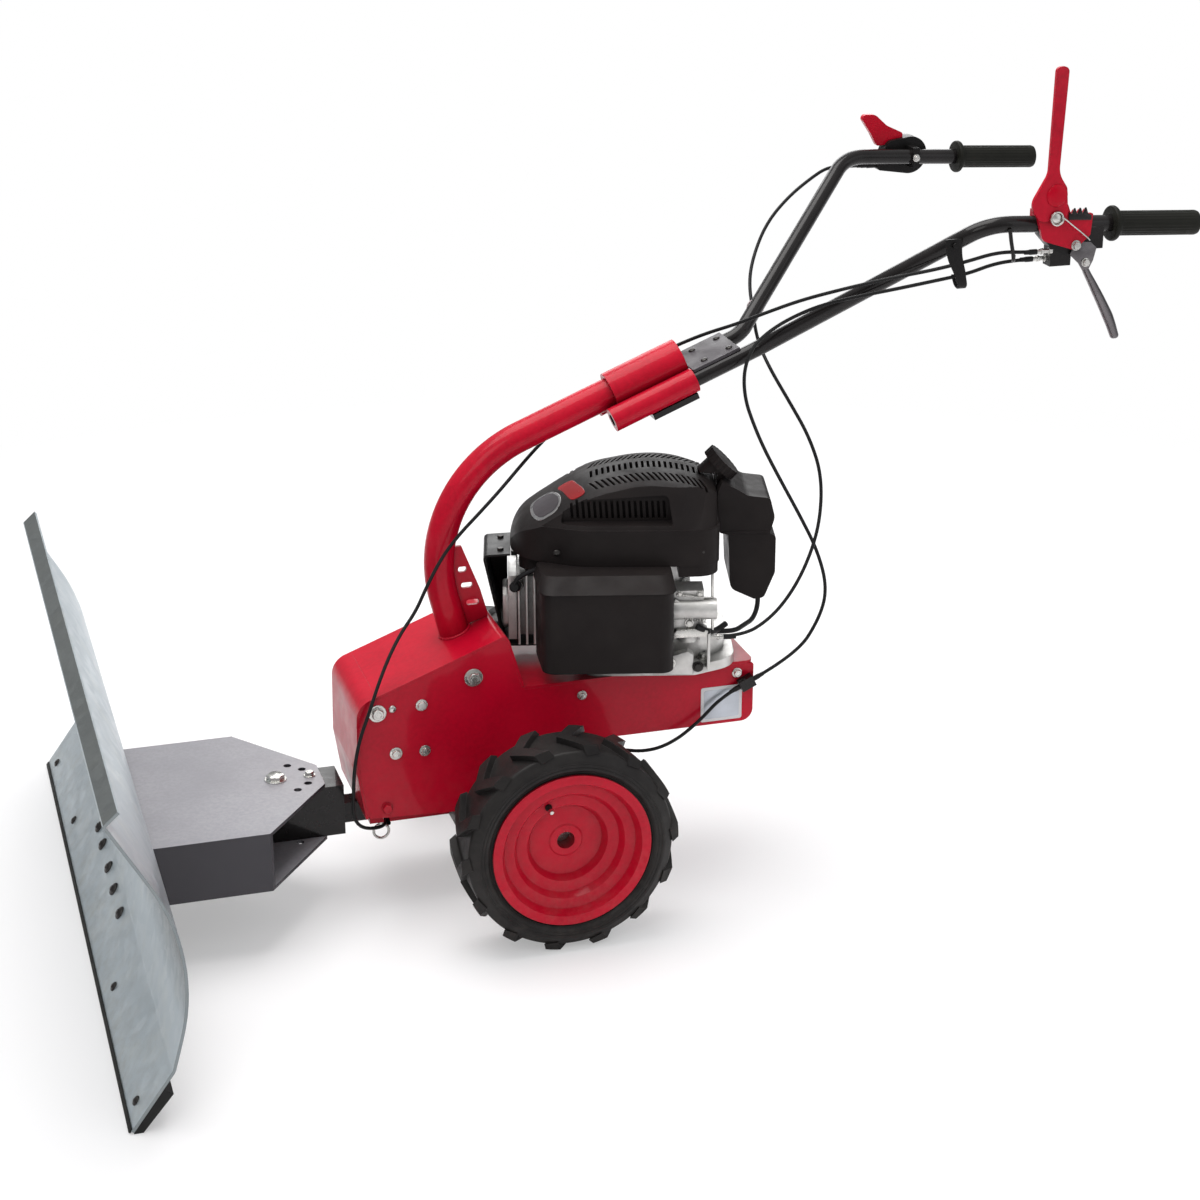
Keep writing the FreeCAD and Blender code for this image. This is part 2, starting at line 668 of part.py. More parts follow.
def build_frame_sheets():
    nose = folded_sheet("front_plate", [
        (dim.nose_front - 10, dim.nose_low), (dim.nose_front, dim.nose_knee),
        (*nose_corner(), dim.nose_bend), (dim.cover_front, dim.nose_top)],
        dim.frame_skin, dim.frame_half, side=-1)
    publish(nose, "front_plate")
    cover = folded_sheet("cover", [
        (dim.cover_front, dim.nose_top), (dim.cover_back, dim.nose_top + dim.cover_rise, 6),
        (18, dim.tray_top)], dim.frame_skin, dim.frame_half, side=-1)
    publish(cover, "cover")
    tray = new_body("engine_tray")
    outline = sketch_on(tray, "XY_Plane", dim.tray_top - dim.frame_skin)
    draw(outline, [(14, -dim.frame_half), (14, dim.frame_half),
                   (-dim.tray_back, dim.frame_half, 12), (-dim.tray_back, -dim.frame_half, 12)])
    pad(tray, outline, dim.frame_skin, midplane=False)
    publish(tray, "engine_tray")


# ---------------------------------------------------------------- column and handlebars

def column_end():
    return dim.column_knee_z + (dim.column_reach + dim.column_knee_x) * tangent(dim.column_slope)


def column_pipe(name, wall=0):
    """The column's bent tube, from inside the frame to its upper end; solid without a wall."""
    column = new_body(name)
    path = sketch_on(column, "XZ_Plane")
    sunk = 30
    foot_z = dim.nose_top + (dim.cover_front - dim.column_foot) * cover_slope()
    draw(path, [(dim.column_foot - sunk * tangent(dim.column_lean), foot_z - sunk),
                (dim.column_knee_x, dim.column_knee_z, dim.column_bend),
                (-dim.column_reach, column_end())], closed=False)
    ring = column.newObject("Sketcher::SketchObject", name + "_ring")
    ring.AttachmentSupport = [(path, "Edge1")]
    ring.MapMode = "NormalToEdge"
    draw_circle(ring, 0, 0, dim.column_radius)
    if wall:
        draw_circle(ring, 0, 0, dim.column_radius - wall)
    doc.recompute()
    pipe = column.newObject("PartDesign::AdditivePipe", name + "_sweep")
    pipe.Profile = ring
    pipe.Spine = (path, [])
    column.Tip = pipe
    return column


def build_column():
    column = column_pipe("column", dim.column_wall)
    below = sketch_on(column, "XZ_Plane")
    front, back = dim.cover_front, dim.cover_back - 60
    skin_up = dim.frame_skin * 1.07
    draw(below, [(front, dim.nose_top + skin_up),
                 (back, dim.nose_top + skin_up + (dim.cover_front - back) * cover_slope()),
                 (back, dim.nose_top - 40), (front, dim.nose_top - 40)])
    pocket(column, below)
    publish(column, "column")


def build_gusset():
    """Plate with three slots behind the column's foot."""
    gusset = new_body("gusset_plate")
    sketch = sketch_on(gusset, "XZ_Plane")
    skin_up = dim.frame_skin * 1.07
    toe_x, top_x = dim.cover_back + 4, dim.column_foot - 12
    toe_z = dim.nose_top + (dim.cover_front - toe_x) * cover_slope() + skin_up
    heel_z = dim.nose_top + (dim.cover_front - dim.column_foot) * cover_slope() + skin_up
    top_z = heel_z + dim.gusset_height + 14
    draw(sketch, [(dim.column_foot + 12, heel_z), (dim.column_foot + 12, top_z), (top_x, top_z),
                  (toe_x + 10, toe_z + 42, 40), (toe_x, toe_z + 6), (toe_x, toe_z)])
    pad(gusset, sketch, dim.gusset_skin)
    slots = sketch_on(gusset, "XZ_Plane")
    half = dim.gusset_slot / 2
    for x, z, reach in ((65, 419, 9), (73, 445, 8), (79, 469, 6)):
        draw(slots, [(x - reach, z - half, 3), (x + reach, z - half, 3),
                     (x + reach, z + half, 3), (x - reach, z + half, 3)])
    pocket(gusset, slots)
    publish(cut("gusset", gusset, [column_pipe("column_core")]), "gusset")


def build_handle_clamp():
    """Collar round the column's end, with a sleeve for each handlebar."""
    slope = dim.column_slope
    run = dim.sleeve_length * cosine(slope)
    start_x = run - dim.column_reach
    start_z = column_end() - dim.sleeve_length * sine(slope)
    drop_x = -dim.sleeve_drop * sine(slope)
    drop_z = -dim.sleeve_drop * cosine(slope)
    collar = sloped_rod("collar", start_x - dim.collar_start * cosine(slope), 0,
                        start_z + dim.collar_start * sine(slope), dim.collar_radius,
                        dim.sleeve_length - dim.collar_start)
    bore = sloped_rod("collar_bore", start_x, 0, start_z, dim.column_radius, dim.sleeve_length)
    solids, bores = [collar], [bore]
    for side, name in ((1, "left"), (-1, "right")):
        spot = (start_x + drop_x, dim.sleeve_side * side, start_z + drop_z)
        solids.append(sloped_rod(f"sleeve_{name}", *spot, dim.sleeve_radius, dim.sleeve_length))
        bores.append(sloped_rod(f"sleeve_bore_{name}", *spot, dim.handle_radius,
                                dim.sleeve_length))
    publish(cut("handle_clamp", fuse("clamp_outside", solids), bores), "handle_clamp")
    return start_x + drop_x, start_z + drop_z


def handle_points(start_x, start_z):
    rise = math.tan(math.radians(dim.column_slope.value))
    x, z = number(start_x), number(start_z)
    side = dim.sleeve_side.value
    elbow_x = -dim.handle_elbow_x.value
    elbow_z = z + (x - elbow_x) * rise
    return [Vector(x, side, z), Vector(elbow_x, side, elbow_z),
            Vector(-dim.handle_bend_x.value, dim.handle_spread.value, dim.handle_bend_z.value),
            Vector(-dim.handle_end_x.value, dim.handle_spread.value, dim.handle_end_z.value)]


def build_handlebars(start_x, start_z):
    points = handle_points(start_x, start_z)
    bar = tube("handlebar_left", points, [45, 60], dim.handle_radius, dim.handle_wall)
    publish(bar, "handlebar_left")
    mirror(bar, "handlebar_right")
    along = (points[3] - points[2]).normalize()
    grip_start = points[3] - along * (dim.grip_length.value - 4)
    radius = dim.grip_radius.value
    body = Part.makeCylinder(radius, dim.grip_length.value, grip_start, along)
    flange = Part.makeCylinder(radius + 7, 8, grip_start, along)
    inside = Part.makeCylinder(dim.handle_radius.value, dim.grip_length.value - 4, grip_start, along)
    grip = doc.addObject("Part::Feature", "grip_left")
    grip.Shape = body.fuse(flange).cut(inside).removeSplitter()
    publish(grip, "grip_left")
    mirror(grip, "grip_right")


# ---------------------------------------------------------------- arm, coupling and blade

def build_coupling():
    """C-shaped head on a square bar, held between the arm's plates by the swivel pin."""
    skin, gap = dim.coupling_skin, dim.swivel_clearance
    high = dim.arm_top - dim.arm_skin - gap
    low = dim.arm_low + dim.arm_skin + gap
    half, back = dim.coupling_half, dim.coupling_back
    plan = new_body("coupling_plates")
    for base in (high - skin, low):
        sketch = sketch_on(plan, "XY_Plane", base)
        draw(sketch, [(back, -half), (dim.pivot_x + half, -half, half - 1),
                      (dim.pivot_x + half, half, half - 1), (back, half)])
        pad(plan, sketch, skin, midplane=False)
        if base is not low:
            web = sketch_on(plan, "XY_Plane", low)
            draw(web, [(back, -half), (back + skin, -half), (back + skin, half), (back, half)])
            pad(plan, web, high - low, midplane=False)
    wall_end = dim.pivot_x + half - 2
    for side in (1, -1):
        wall = sketch_on(plan, "XY_Plane", low)
        draw(wall, [(back, half * side), (wall_end, half * side),
                    (wall_end, (half - skin) * side), (back, (half - skin) * side)])
        pad(plan, wall, high - low, midplane=False)
    boss = rod("pivot_boss", "z", (dim.pivot_x, 0, low), dim.pivot_radius + 8, high - low)
    bore = rod("pivot_bore", "z", (dim.pivot_x, 0, low - 1),
               dim.pivot_radius + dim.running_clearance, high - low + 2)
    lock = rod("lock_hole", "z", (dim.pivot_x - dim.index_radius, 0, low - 1), dim.index_hole,
               high - low + 2)
    publish(cut("coupling_head", fuse("coupling_outside", [plan, boss]), [bore, lock]),
            "coupling_head")
    bar_half = dim.bar_side / 2
    bar = block("coupling_bar_box", (dim.bar_back, back), (-bar_half, bar_half),
                (dim.bar_height - bar_half, dim.bar_height + bar_half))
    publish(group("coupling_bar", [bar]), "coupling_bar")
    outside = bar_half + dim.socket_wall
    shell = block("socket_shell", (dim.case_front, dim.socket_front), (-outside, outside),
                  (dim.bar_height - outside, dim.bar_height + outside))
    hollow = block("socket_hollow", (dim.bar_back, dim.socket_front + 1), (-bar_half, bar_half),
                   (dim.bar_height - bar_half, dim.bar_height + bar_half))
    publish(cut("coupling_socket", shell, [hollow]), "coupling_socket")


def build_arm():
    """Box of folded plate, closed along its sides and open where it narrows to the pivot."""
    skin = dim.arm_skin
    arm = new_body("arm_box")
    plan = sketch_on(arm, "XY_Plane", dim.arm_low)
    draw(plan, [(dim.arm_front, dim.arm_half), (dim.arm_shoulder, dim.arm_half),
                (dim.arm_tip, dim.arm_tip_half), (dim.arm_tip, -dim.arm_tip_half),
                (dim.arm_shoulder, -dim.arm_half), (dim.arm_front, -dim.arm_half)])
    pad(arm, plan, dim.arm_top - dim.arm_low, midplane=False)
    inner_half = dim.arm_half - skin
    hollow = block("arm_hollow", (dim.arm_tip - 10, dim.arm_front - skin),
                   (-inner_half, inner_half), (dim.arm_low + skin, dim.arm_top - skin))
    holes = [rod("arm_pivot_hole", "z", (dim.pivot_x, 0, dim.arm_low - 1), dim.pivot_radius,
                 dim.arm_top - dim.arm_low + 2)]
    for step in range(-2, 3):
        angle = dim.index_step * step
        spot = (dim.pivot_x - dim.index_radius * cosine(angle), dim.index_radius * sine(angle),
                dim.arm_low - 1)
        holes.append(rod(f"index_hole_{step + 2}", "z", spot, dim.index_hole,
                         dim.arm_top - dim.arm_low + 2))
    publish(cut("arm", arm, [hollow] + holes), "arm")
    shank = rod("pivot_shank", "z", (dim.pivot_x, 0, dim.arm_low - 14), dim.pivot_radius,
                dim.arm_top - dim.arm_low + 14)
    head = rod("pivot_head", "z", (dim.pivot_x, 0, dim.arm_top), dim.pivot_radius + 3, 8)
    nut = rod("pivot_nut", "z", (dim.pivot_x, 0, dim.arm_low - 11), dim.pivot_radius + 5, 11)
    publish(fuse("pivot_bolt", [shank, head, nut]), "pivot_bolt")


def blade_line():
    return [(dim.blade_lip_x, dim.blade_lip_z), (dim.blade_fold_x, dim.blade_fold_z, 12),
            (dim.blade_belly_x, dim.blade_belly_z, dim.blade_belly),
            (dim.blade_top_x, dim.blade_top_z, 3),
            (dim.blade_top_x - dim.flange_x, dim.blade_top_z + dim.flange_z)]


def build_blade():
    blade = folded_sheet("moldboard", blade_line(), dim.blade_skin, dim.blade_half)
    publish(blade, "moldboard")
    # carrier between the arm's front and the back of the blade
    carrier_box = block("carrier_box", (dim.arm_front, dim.blade_top_x),
                        (-dim.arm_half, dim.arm_half), (dim.arm_low, dim.arm_top))
    front_side = new_body("blade_front_side")
    section = sketch_on(front_side, "XZ_Plane")
    draw(section, blade_line()[:3] + [(dim.blade_top_x, dim.blade_top_z),
                                      (dim.blade_top_x + 40, dim.blade_top_z),
                                      (dim.blade_top_x + 40, dim.blade_lip_z)])
    pad(front_side, section, dim.blade_half * 2)
    blade_copy = folded_sheet("blade_tool", blade_line(), dim.blade_skin, dim.blade_half)
    publish(cut("blade_carrier", carrier_box, [front_side, blade_copy]), "blade_carrier")


def build_strip():
    """Rubber strip under the lower lip, its edge on the floor."""
    run = dim.blade_lip_x - dim.blade_fold_x
    rise = dim.blade_fold_z - dim.blade_lip_z
    lean = arctangent(rise / run)
    along = (cosine(lean) * dim.strip_width, sine(lean) * dim.strip_width)
    under = (sine(lean) * dim.blade_skin, cosine(lean) * dim.blade_skin)
    down = (sine(lean) * dim.strip_skin, cosine(lean) * dim.strip_skin)
    edge_x, edge_z = dim.blade_lip_x - under[0], dim.blade_lip_z - under[1]
    strip = new_body("rubber_strip")
    section = sketch_on(strip, "XZ_Plane")
    draw(section, [(edge_x, edge_z), (edge_x - along[0], edge_z + along[1]),
                   (edge_x - along[0] - down[0], edge_z + along[1] - down[1]),
                   (edge_x - down[0], 0), (edge_x, 0)])
    pad(strip, section, dim.blade_half * 2)
    publish(strip, "rubber_strip")


# ---------------------------------------------------------------- controls

def level_z(x):
    """Height of a handlebar's centre line on its level run, at x from the axle."""
    fall = (dim.handle_bend_z - dim.handle_end_z) / (dim.handle_end_x - dim.handle_bend_x)
    return dim.handle_bend_z + (x + dim.handle_bend_x) * fall


def handle_core(name, side=1):
    """A handlebar's level run as a solid, to cut its seat from what clamps it."""
    fall = (dim.handle_bend_z - dim.handle_end_z) / (dim.handle_end_x - dim.handle_bend_x)
    core = doc.addObject("Part::Cylinder", name)
    measure(core, Radius=dim.handle_radius, Height=dim.handle_end_x - dim.handle_bend_x)
    return seat(core, -dim.handle_bend_x, dim.handle_spread * side, dim.handle_bend_z,
                Vector(0, -1, 0), 90 + arctangent(fall))


def upright(name, corners, middle, thickness):
    """A flat piece in the XZ plane, its middle at a distance to the side."""
    plate = new_body(name)
    draw(sketch_on(plate, "XZ_Plane", -middle), corners)
    pad(plate, plate.Group[-1], thickness)
    return plate


def build_drive_lever():
    """Red hand lever on its toothed bracket, and the steel brake lever below."""
    tube_z = level_z(-680)
    spread, skin = dim.handle_spread, dim.lever_skin
    outer = spread + dim.handle_radius
    high, low = tube_z + 21, tube_z + 15
    bracket = upright("toothed_plate", [
        (-635, tube_z + 30, 6), (-682, tube_z + 30, 4), (-688, low), (-692, high), (-696, low),
        (-700, high), (-704, low), (-708, high), (-712, low), (-720, low, 2),
        (-718, tube_z - 14, 4), (-696, tube_z - 33, 6), (-649, tube_z - 18, 10)],
        outer + skin / 2, skin)
    saddle = block("lever_saddle", (-677, -643), (spread - 14, outer), (tube_z + 3, tube_z + 20))
    publish(cut("lever_bracket", fuse("lever_bracket_outside", [bracket, saddle]),
                [handle_core("bracket_bore")]), "lever_bracket")
    rise = dim.lever_top - tube_z
    neck, waist, bulge = tube_z + rise * 0.34, tube_z + rise * 0.25, tube_z + rise * 0.14
    lever = upright("drive_lever", [
        (-651, dim.lever_top, 7), (-669, dim.lever_top, 7), (-664, neck, 30), (-677, waist, 10),
        (-681, tube_z + 12, 8), (-642, tube_z + 8, 12), (-625, bulge, 20), (-649, neck, 24)],
        outer + skin * 1.5, skin)
    publish(lever, "drive_lever")
    jaw_low = tube_z - 34
    jaw = block("clamp_jaw", (-740, -683), (spread - 14, outer), (jaw_low, tube_z - 4))
    stop = block("cable_stop", (-694, -664), (spread - 9, outer), (tube_z - 54, tube_z - 24))
    publish(cut("lever_clamp", fuse("clamp_and_stop", [jaw, stop]), [handle_core("jaw_bore")]),
            "lever_clamp")
    blade = folded_sheet("brake_lever", [(-706, jaw_low), (-706, jaw_low - 12, 12),
                                         (-724, 890, 30), (-762, 842, 40), (-777, 797)], skin, 8)
    blade.Label = "brake_lever"
    seat(blade, dim.axle_forward, spread, 0)
    parts.append(blade)


def build_throttle():
    """Round throttle housing outside the right handlebar, and its thumb paddle."""
    middle = level_z(-683)
    outer = dim.handle_spread + dim.handle_radius
    side = -outer - dim.throttle_depth / 2 - 1
    case = upright("throttle_case", [
        (-650, middle + 22, 12), (-712, middle + 32, 26), (-714, middle - 32, 28),
        (-634, middle - 20, 4)], side, dim.throttle_depth)
    inner = 4 + dim.handle_radius - dim.handle_spread
    band = block("throttle_band", (-690, -680), (-outer - 2, inner), (middle - 15, middle + 15))
    ferrule = rod("throttle_ferrule", "x", (-650, side, middle - 14), dim.cable_radius + 2, 28)
    publish(cut("throttle_housing", fuse("throttle_outside", [case, band, ferrule]),
                [handle_core("throttle_bore", -1)]), "throttle_housing")
    paddle = upright("paddle_blank", [
        (-605, 1020, 6), (-631, 1019, 14), (-650, 1002, 20), (-676, 990, 4),
        (-676, middle + 18), (-635, middle + 15, 4), (-624, 992, 14)], side, 9)
    publish(cut("throttle_paddle", paddle, [upright("paddle_seat", [
        (-650, middle + 22, 12), (-712, middle + 32, 26), (-714, middle - 32, 28),
        (-634, middle - 20, 4)], side, dim.throttle_depth)]), "throttle_paddle")


def build_clamp_plates(clamp_x, clamp_z):
    """Plate across the tops of the handlebars, and the dark pad under their sleeves."""
    slope = dim.column_slope
    front = clamp_x - dim.sleeve_length * cosine(slope) - 2
    back = 24 - dim.handle_elbow_x

    def sloped_plate(name, start, end, rise, skin, half):
        """A plate along the handlebars, its lower face a distance over their centre line."""
        corners = [(x + sine(slope) * over, clamp_z + (clamp_x - x) * tangent(slope)
                    + cosine(slope) * over)
                   for x, over in ((start, rise), (end, rise), (end, rise + skin),
                                   (start, rise + skin))]
        publish(upright(name, corners, 0, half * 2), name)

    sloped_plate("clamp_plate", front, back, dim.handle_radius, dim.clamp_skin,
                 dim.sleeve_side + 4)
    sloped_plate("clamp_pad", clamp_x - 50, front + 6, -dim.sleeve_radius - dim.clamp_skin * 2,
                 dim.clamp_skin * 2, dim.sleeve_side + 8)


def build_latch():
    """Locking pin under the coupling socket, with its pull ring."""
    low = dim.bar_height - dim.bar_side / 2 - dim.socket_wall
    x = dim.socket_front - 20
    stub = rod("latch_stub", "z", (x, 0, low - 14), 5, 14)
    ring = doc.addObject("Part::Torus", "latch_ring")
    measure(ring, Radius1=11, Radius2=2)
    seat(ring, x, 0, low - 23, Vector(1, 0, 0), 90)
    publish(fuse("coupling_latch", [stub, ring]), "coupling_latch")


# ---------------------------------------------------------------- engine

def publish_engine(feature, name):
    """Engine pieces are drawn round the crankshaft, on the tray, and turned together."""
    return publish(feature, name, -dim.engine_x, 0, dim.tray_top, Vector(0, 0, -1),
                   dim.engine_turn)


def engine_point(x, y, z):
    """A point of the engine's own frame, seen from the axle."""
    turn = math.radians(dim.engine_turn.value)
    x, y = number(x), number(y)
    return Vector(x * math.cos(turn) + y * math.sin(turn) - dim.engine_x.value,
                  y * math.cos(turn) - x * math.sin(turn), number(z) + dim.tray_top.value)


def upright_body(name, corners, low, height):
    """A vertical prism: an outline in plan, from low up."""
    body = new_body(name)
    draw(sketch_on(body, "XY_Plane", low), corners)
    pad(body, body.Group[-1], height, midplane=False)
    return body


def build_crankcase():
    half, back = dim.foot_half, -dim.foot_back
    foot = upright_body("foot", [(70, -half, 25), (70, half, 25), (-88, half, 12), (back, 64, 44),
                                 (back, -64, 44), (-88, -half, 12)], 0, dim.foot_height)
    sump = upright_body("sump", [(30, 20 - half, 30), (30, half - 20, 30),
                                 (12 - dim.foot_back, 62, 56), (12 - dim.foot_back, -62, 56)],
                        dim.foot_height, 34)
    barrel = rod("barrel", "z", (0, 0, 0), dim.crankcase_radius, dim.cowl_low)
    intake = block("intake", (-86, -62), (0, 62), (86, 116))
    stop = block("throttle_stop", (-110, -106), (88, 100), (dim.foot_height - 6, 68))
    tab = block("stop_tab", (-110, -106), (60, 100), (dim.foot_height - 6, dim.foot_height + 8))
    publish_engine(fuse("crankcase", [foot, sump, barrel, intake, stop, tab]), "crankcase")


def build_cylinder():
    """Finned cylinder lying forward of the crankshaft, with its head."""
    start, half = dim.crankcase_radius - 10, dim.cylinder_half
    low, top = dim.cylinder_low, dim.cylinder_top
    core = block("cylinder_core", (start, dim.head_front), (14 - half, half - 14),
                 (low + 10, top - 10))
    first = dim.head_front - 6 - dim.fin_pitch * dim.fin_count
    fin = upright_body("fin", [(first, -half, 1), (first, half, 1),
                               (first + dim.fin_skin, half, 1), (first + dim.fin_skin, -half, 1)],
                       low, top - low)
    fins = fin.newObject("PartDesign::LinearPattern", "fins")
    fins.Originals = [fin.Tip]
    fins.Direction = (fin.Group[0], ["H_Axis"])
    fins.Occurrences = int(dim.fin_count.value)
    bind(fins, "Occurrences", dim.fin_count)
    measure(fins, Length=dim.fin_pitch * (dim.fin_count - 1))
    fin.Tip = fins
    head = block("head", (dim.head_front - 12, dim.head_front), (6 - half, half - 6),
                 (low + 6, top - 6))
    publish_engine(cut("cylinder", fuse("cylinder_outside", [core, fin, head]),
                       [rod("cylinder_seat", "z", (0, 0, 0), dim.crankcase_radius,
                            dim.cowl_low)]), "cylinder")
    muffler = upright_body("muffler", [
        (dim.head_front - 64, -dim.foot_half, 16), (dim.head_front - 4, -dim.foot_half, 16),
        (dim.head_front - 4, -half, 4), (dim.head_front - 64, -half, 4)], low + 14, 92)
    publish_engine(muffler, "muffler")


def cowl_outline(inset=0):
    front, back, half = dim.cowl_front - inset, inset - dim.cowl_back, dim.cowl_half - inset
    right = [(front, -62, 80), (70, 1 - half, 120), (-70, -half - 2, 150), (back, 2 - half, 30)]
    left = [(x, -y, radius) for x, y, radius in reversed(right)]
    return left + right


def build_cowl():
    """Moulded fan cowl: a skirt with a lip, a lofted dome with a turned crown, and louvres."""
    cowl = new_body("cowl")
    low, lip, back = dim.cowl_low, dim.cowl_lip, -dim.cowl_back
    skirt = sketch_on(cowl, "XY_Plane", low)
    draw(skirt, cowl_outline())
    pad(cowl, skirt, lip - low, midplane=False)
    base = sketch_on(cowl, "XY_Plane", lip)
    draw(base, cowl_outline(3))
    inner = sketch_on(cowl, "XY_Plane", dim.loft_top)
    right = [(150, -20, 20), (50, -62, 120), (-55, -66, 60), (back, -14, 10)]
    draw(inner, [(x, -y, radius) for x, y, radius in reversed(right)] + right)
    doc.recompute()
    dome = cowl.newObject("PartDesign::AdditiveLoft", "cowl_dome")
    dome.Profile = base
    dome.Sections = [inner]
    dome.Ruled = True
    cowl.Tip = dome
    above = sketch_on(cowl, "XZ_Plane", 0, -dim.dome_axis)
    lift = dim.dome_axis
    draw(above, [(186, lift + 120), (160, lift + 205, 60), (60, lift + 268, 160),
                 (-40, lift + 287, 200), (-116, lift + 264, 24), (-132, lift + 226),
                 (-170, lift + 226), (-170, lift + 380), (230, lift + 380), (230, lift + 120)])
    revolve(cowl, above, "H_Axis", "PartDesign::Groove")
    add_skirts(cowl)
    cut_louvres(cowl)
    publish_engine(cowl, "cowl")


def add_skirts(cowl):
    """The cowl reaches lower behind the crankcase and over the cylinder."""
    rear_drop, nose_drop = 16, 24
    rear = sketch_on(cowl, "XY_Plane", dim.cowl_low - rear_drop)
    draw(rear, cowl_outline(1.5))
    pad(cowl, rear, rear_drop, midplane=False)
    ahead = sketch_on(cowl, "XY_Plane", dim.cowl_low - rear_drop)
    draw(ahead, [(-64, -130), (190, -130), (190, 130), (-64, 130)])
    pocket(cowl, ahead, rear_drop, midplane=False, reversed_way=True)
    barrel = sketch_on(cowl, "XY_Plane", dim.cowl_low - rear_drop)
    draw_circle(barrel, 0, 0, dim.crankcase_radius + 2)
    pocket(cowl, barrel, rear_drop, midplane=False, reversed_way=True)
    nose = sketch_on(cowl, "XY_Plane", dim.cowl_low - nose_drop)
    draw(nose, [(84, -46, 6), (156, -46, 20), (156, 46, 20), (84, 46, 6)])
    pad(cowl, nose, nose_drop, midplane=False)


def repeat(body, feature, sketch, count):
    """Repeat a slot along the engine."""
    row = body.newObject("PartDesign::LinearPattern", "louvre_row")
    row.Originals = [feature]
    row.Direction = (sketch, ["H_Axis"])
    row.Occurrences = int(count.value)
    bind(row, "Occurrences", count)
    measure(row, Length=dim.louvre_pitch * (count - 1))
    body.Tip = row


def cut_louvres(cowl):
    """Three rows of slots across the crown and one down each flank."""
    width = dim.louvre_width
    for start, low, high, slant in ((-102, -60, -34, -5), (-100, -14, 14, 0), (-102, 34, 60, 5)):
        slot = sketch_on(cowl, "XY_Plane", dim.loft_top)
        draw(slot, [(start + slant, low), (start + slant + width, low),
                    (start - slant + width, high), (start - slant, high)])
        repeat(cowl, pocket(cowl, slot, dim.loft_top - dim.louvre_floor, midplane=False), slot,
               dim.crown_louvres)
    beyond = dim.cowl_half + 10
    low, high = dim.cowl_lip + 5, dim.cowl_lip + 44
    for side in (1, -1):
        recess = sketch_on(cowl, "XZ_Plane", -beyond * side)
        draw(recess, [(-56, low, 3), (98, low, 3), (92, high - 8, 8), (-50, high, 8)])
        pocket(cowl, recess, beyond - dim.flank_half, midplane=False, reversed_way=side > 0)
        slot = sketch_on(cowl, "XZ_Plane", -beyond * side)
        draw(slot, [(-48, low + 4), (-48 + width, low + 4), (-46 + width, high - 10),
                    (-46, high - 10)])
        depth = beyond - dim.flank_half + dim.flank_depth
        repeat(cowl, pocket(cowl, slot, depth, midplane=False, reversed_way=side > 0), slot,
               dim.flank_louvres)


def build_air_box():
    """Air cleaner box beside the cylinder, with a sloping lid."""
    front, back = dim.box_front, -dim.box_back
    inner, outer, seam = dim.box_inner, dim.box_outer, dim.cowl_low - dim.lid_height
    box = upright_body("air_box", [(front + 10, inner, 4), (front, outer, 18), (back, outer, 18),
                                   (back + 4, inner, 4)], dim.box_low, seam - dim.box_low)
    publish_engine(box, "air_box")
    lid = new_body("air_box_lid")
    rim = sketch_on(lid, "XY_Plane", seam)
    draw(rim, [(front + 13, inner, 4), (front + 3, outer + 3, 20), (back - 3, outer + 3, 20),
               (back, inner, 4)])
    crown = sketch_on(lid, "XY_Plane", dim.cowl_low)
    draw(crown, [(front + 8, inner, 4), (front, outer - 26, 20), (back + 2, outer - 26, 20),
                 (back + 4, inner, 4)])
    doc.recompute()
    loft = lid.newObject("PartDesign::AdditiveLoft", "lid_loft")
    loft.Profile = rim
    loft.Sections = [crown]
    loft.Ruled = True
    lid.Tip = loft
    publish_engine(lid, "air_box_lid")


def build_tank():
    """Fuel tank behind the cowl with a leaning filler neck, and its grooved cap."""
    x = -dim.cowl_back
    middle = dim.tank_side - dim.tank_width / 2
    tank = upright("tank", [
        (x, 250), (x - 6, 264), (x - 26, 254, 8), (x - 42, 244, 20), (x - 74, 240, 8),
        (x - 81, 212, 20), (x - 74, 188, 3), (x - 83, 184, 6), (x - 83, 130, 12),
        (x - 68, 92, 8), (x - 54, 90), (x - 20, 106, 14), (x - 16, 186), (x, 192)],
        middle, dim.tank_width)
    tilt = dim.cap_tilt
    spot = (x - 1, 0, 276)
    neck = doc.addObject("Part::Cylinder", "filler_neck")
    measure(neck, Radius=dim.cap_radius - 8, Height=22)
    seat(neck, spot[0] + sine(tilt) * 20, 0, spot[2] - cosine(tilt) * 20, Vector(0, -1, 0), tilt)
    behind = block("behind_cowl", (x, x + 80), (-60, 60), (100, 272))
    publish_engine(cut("fuel_tank", fuse("tank_outside", [tank, neck]), [behind]), "fuel_tank")
    cap = new_body("ribbed_cap")
    face = sketch_on(cap, "XY_Plane", 2)
    draw_circle(face, 0, 0, dim.cap_radius)
    pad(cap, face, dim.cap_height, midplane=False)
    groove = sketch_on(cap, "XY_Plane", dim.cap_height + 2)
    draw_circle(groove, dim.cap_radius + 1, 0, 2.4)
    notch = pocket(cap, groove, dim.cap_height, midplane=False)
    ring = cap.newObject("PartDesign::PolarPattern", "cap_grooves")
    ring.Originals = [notch]
    ring.Axis = (face, ["N_Axis"])
    ring.Angle = 360
    ring.Occurrences = int(dim.cap_ribs.value)
    bind(ring, "Occurrences", dim.cap_ribs)
    cap.Tip = ring
    seat(cap, *spot, Vector(0, -1, 0), tilt)
    publish_engine(group("tilted_cap", [cap]), "fuel_cap")


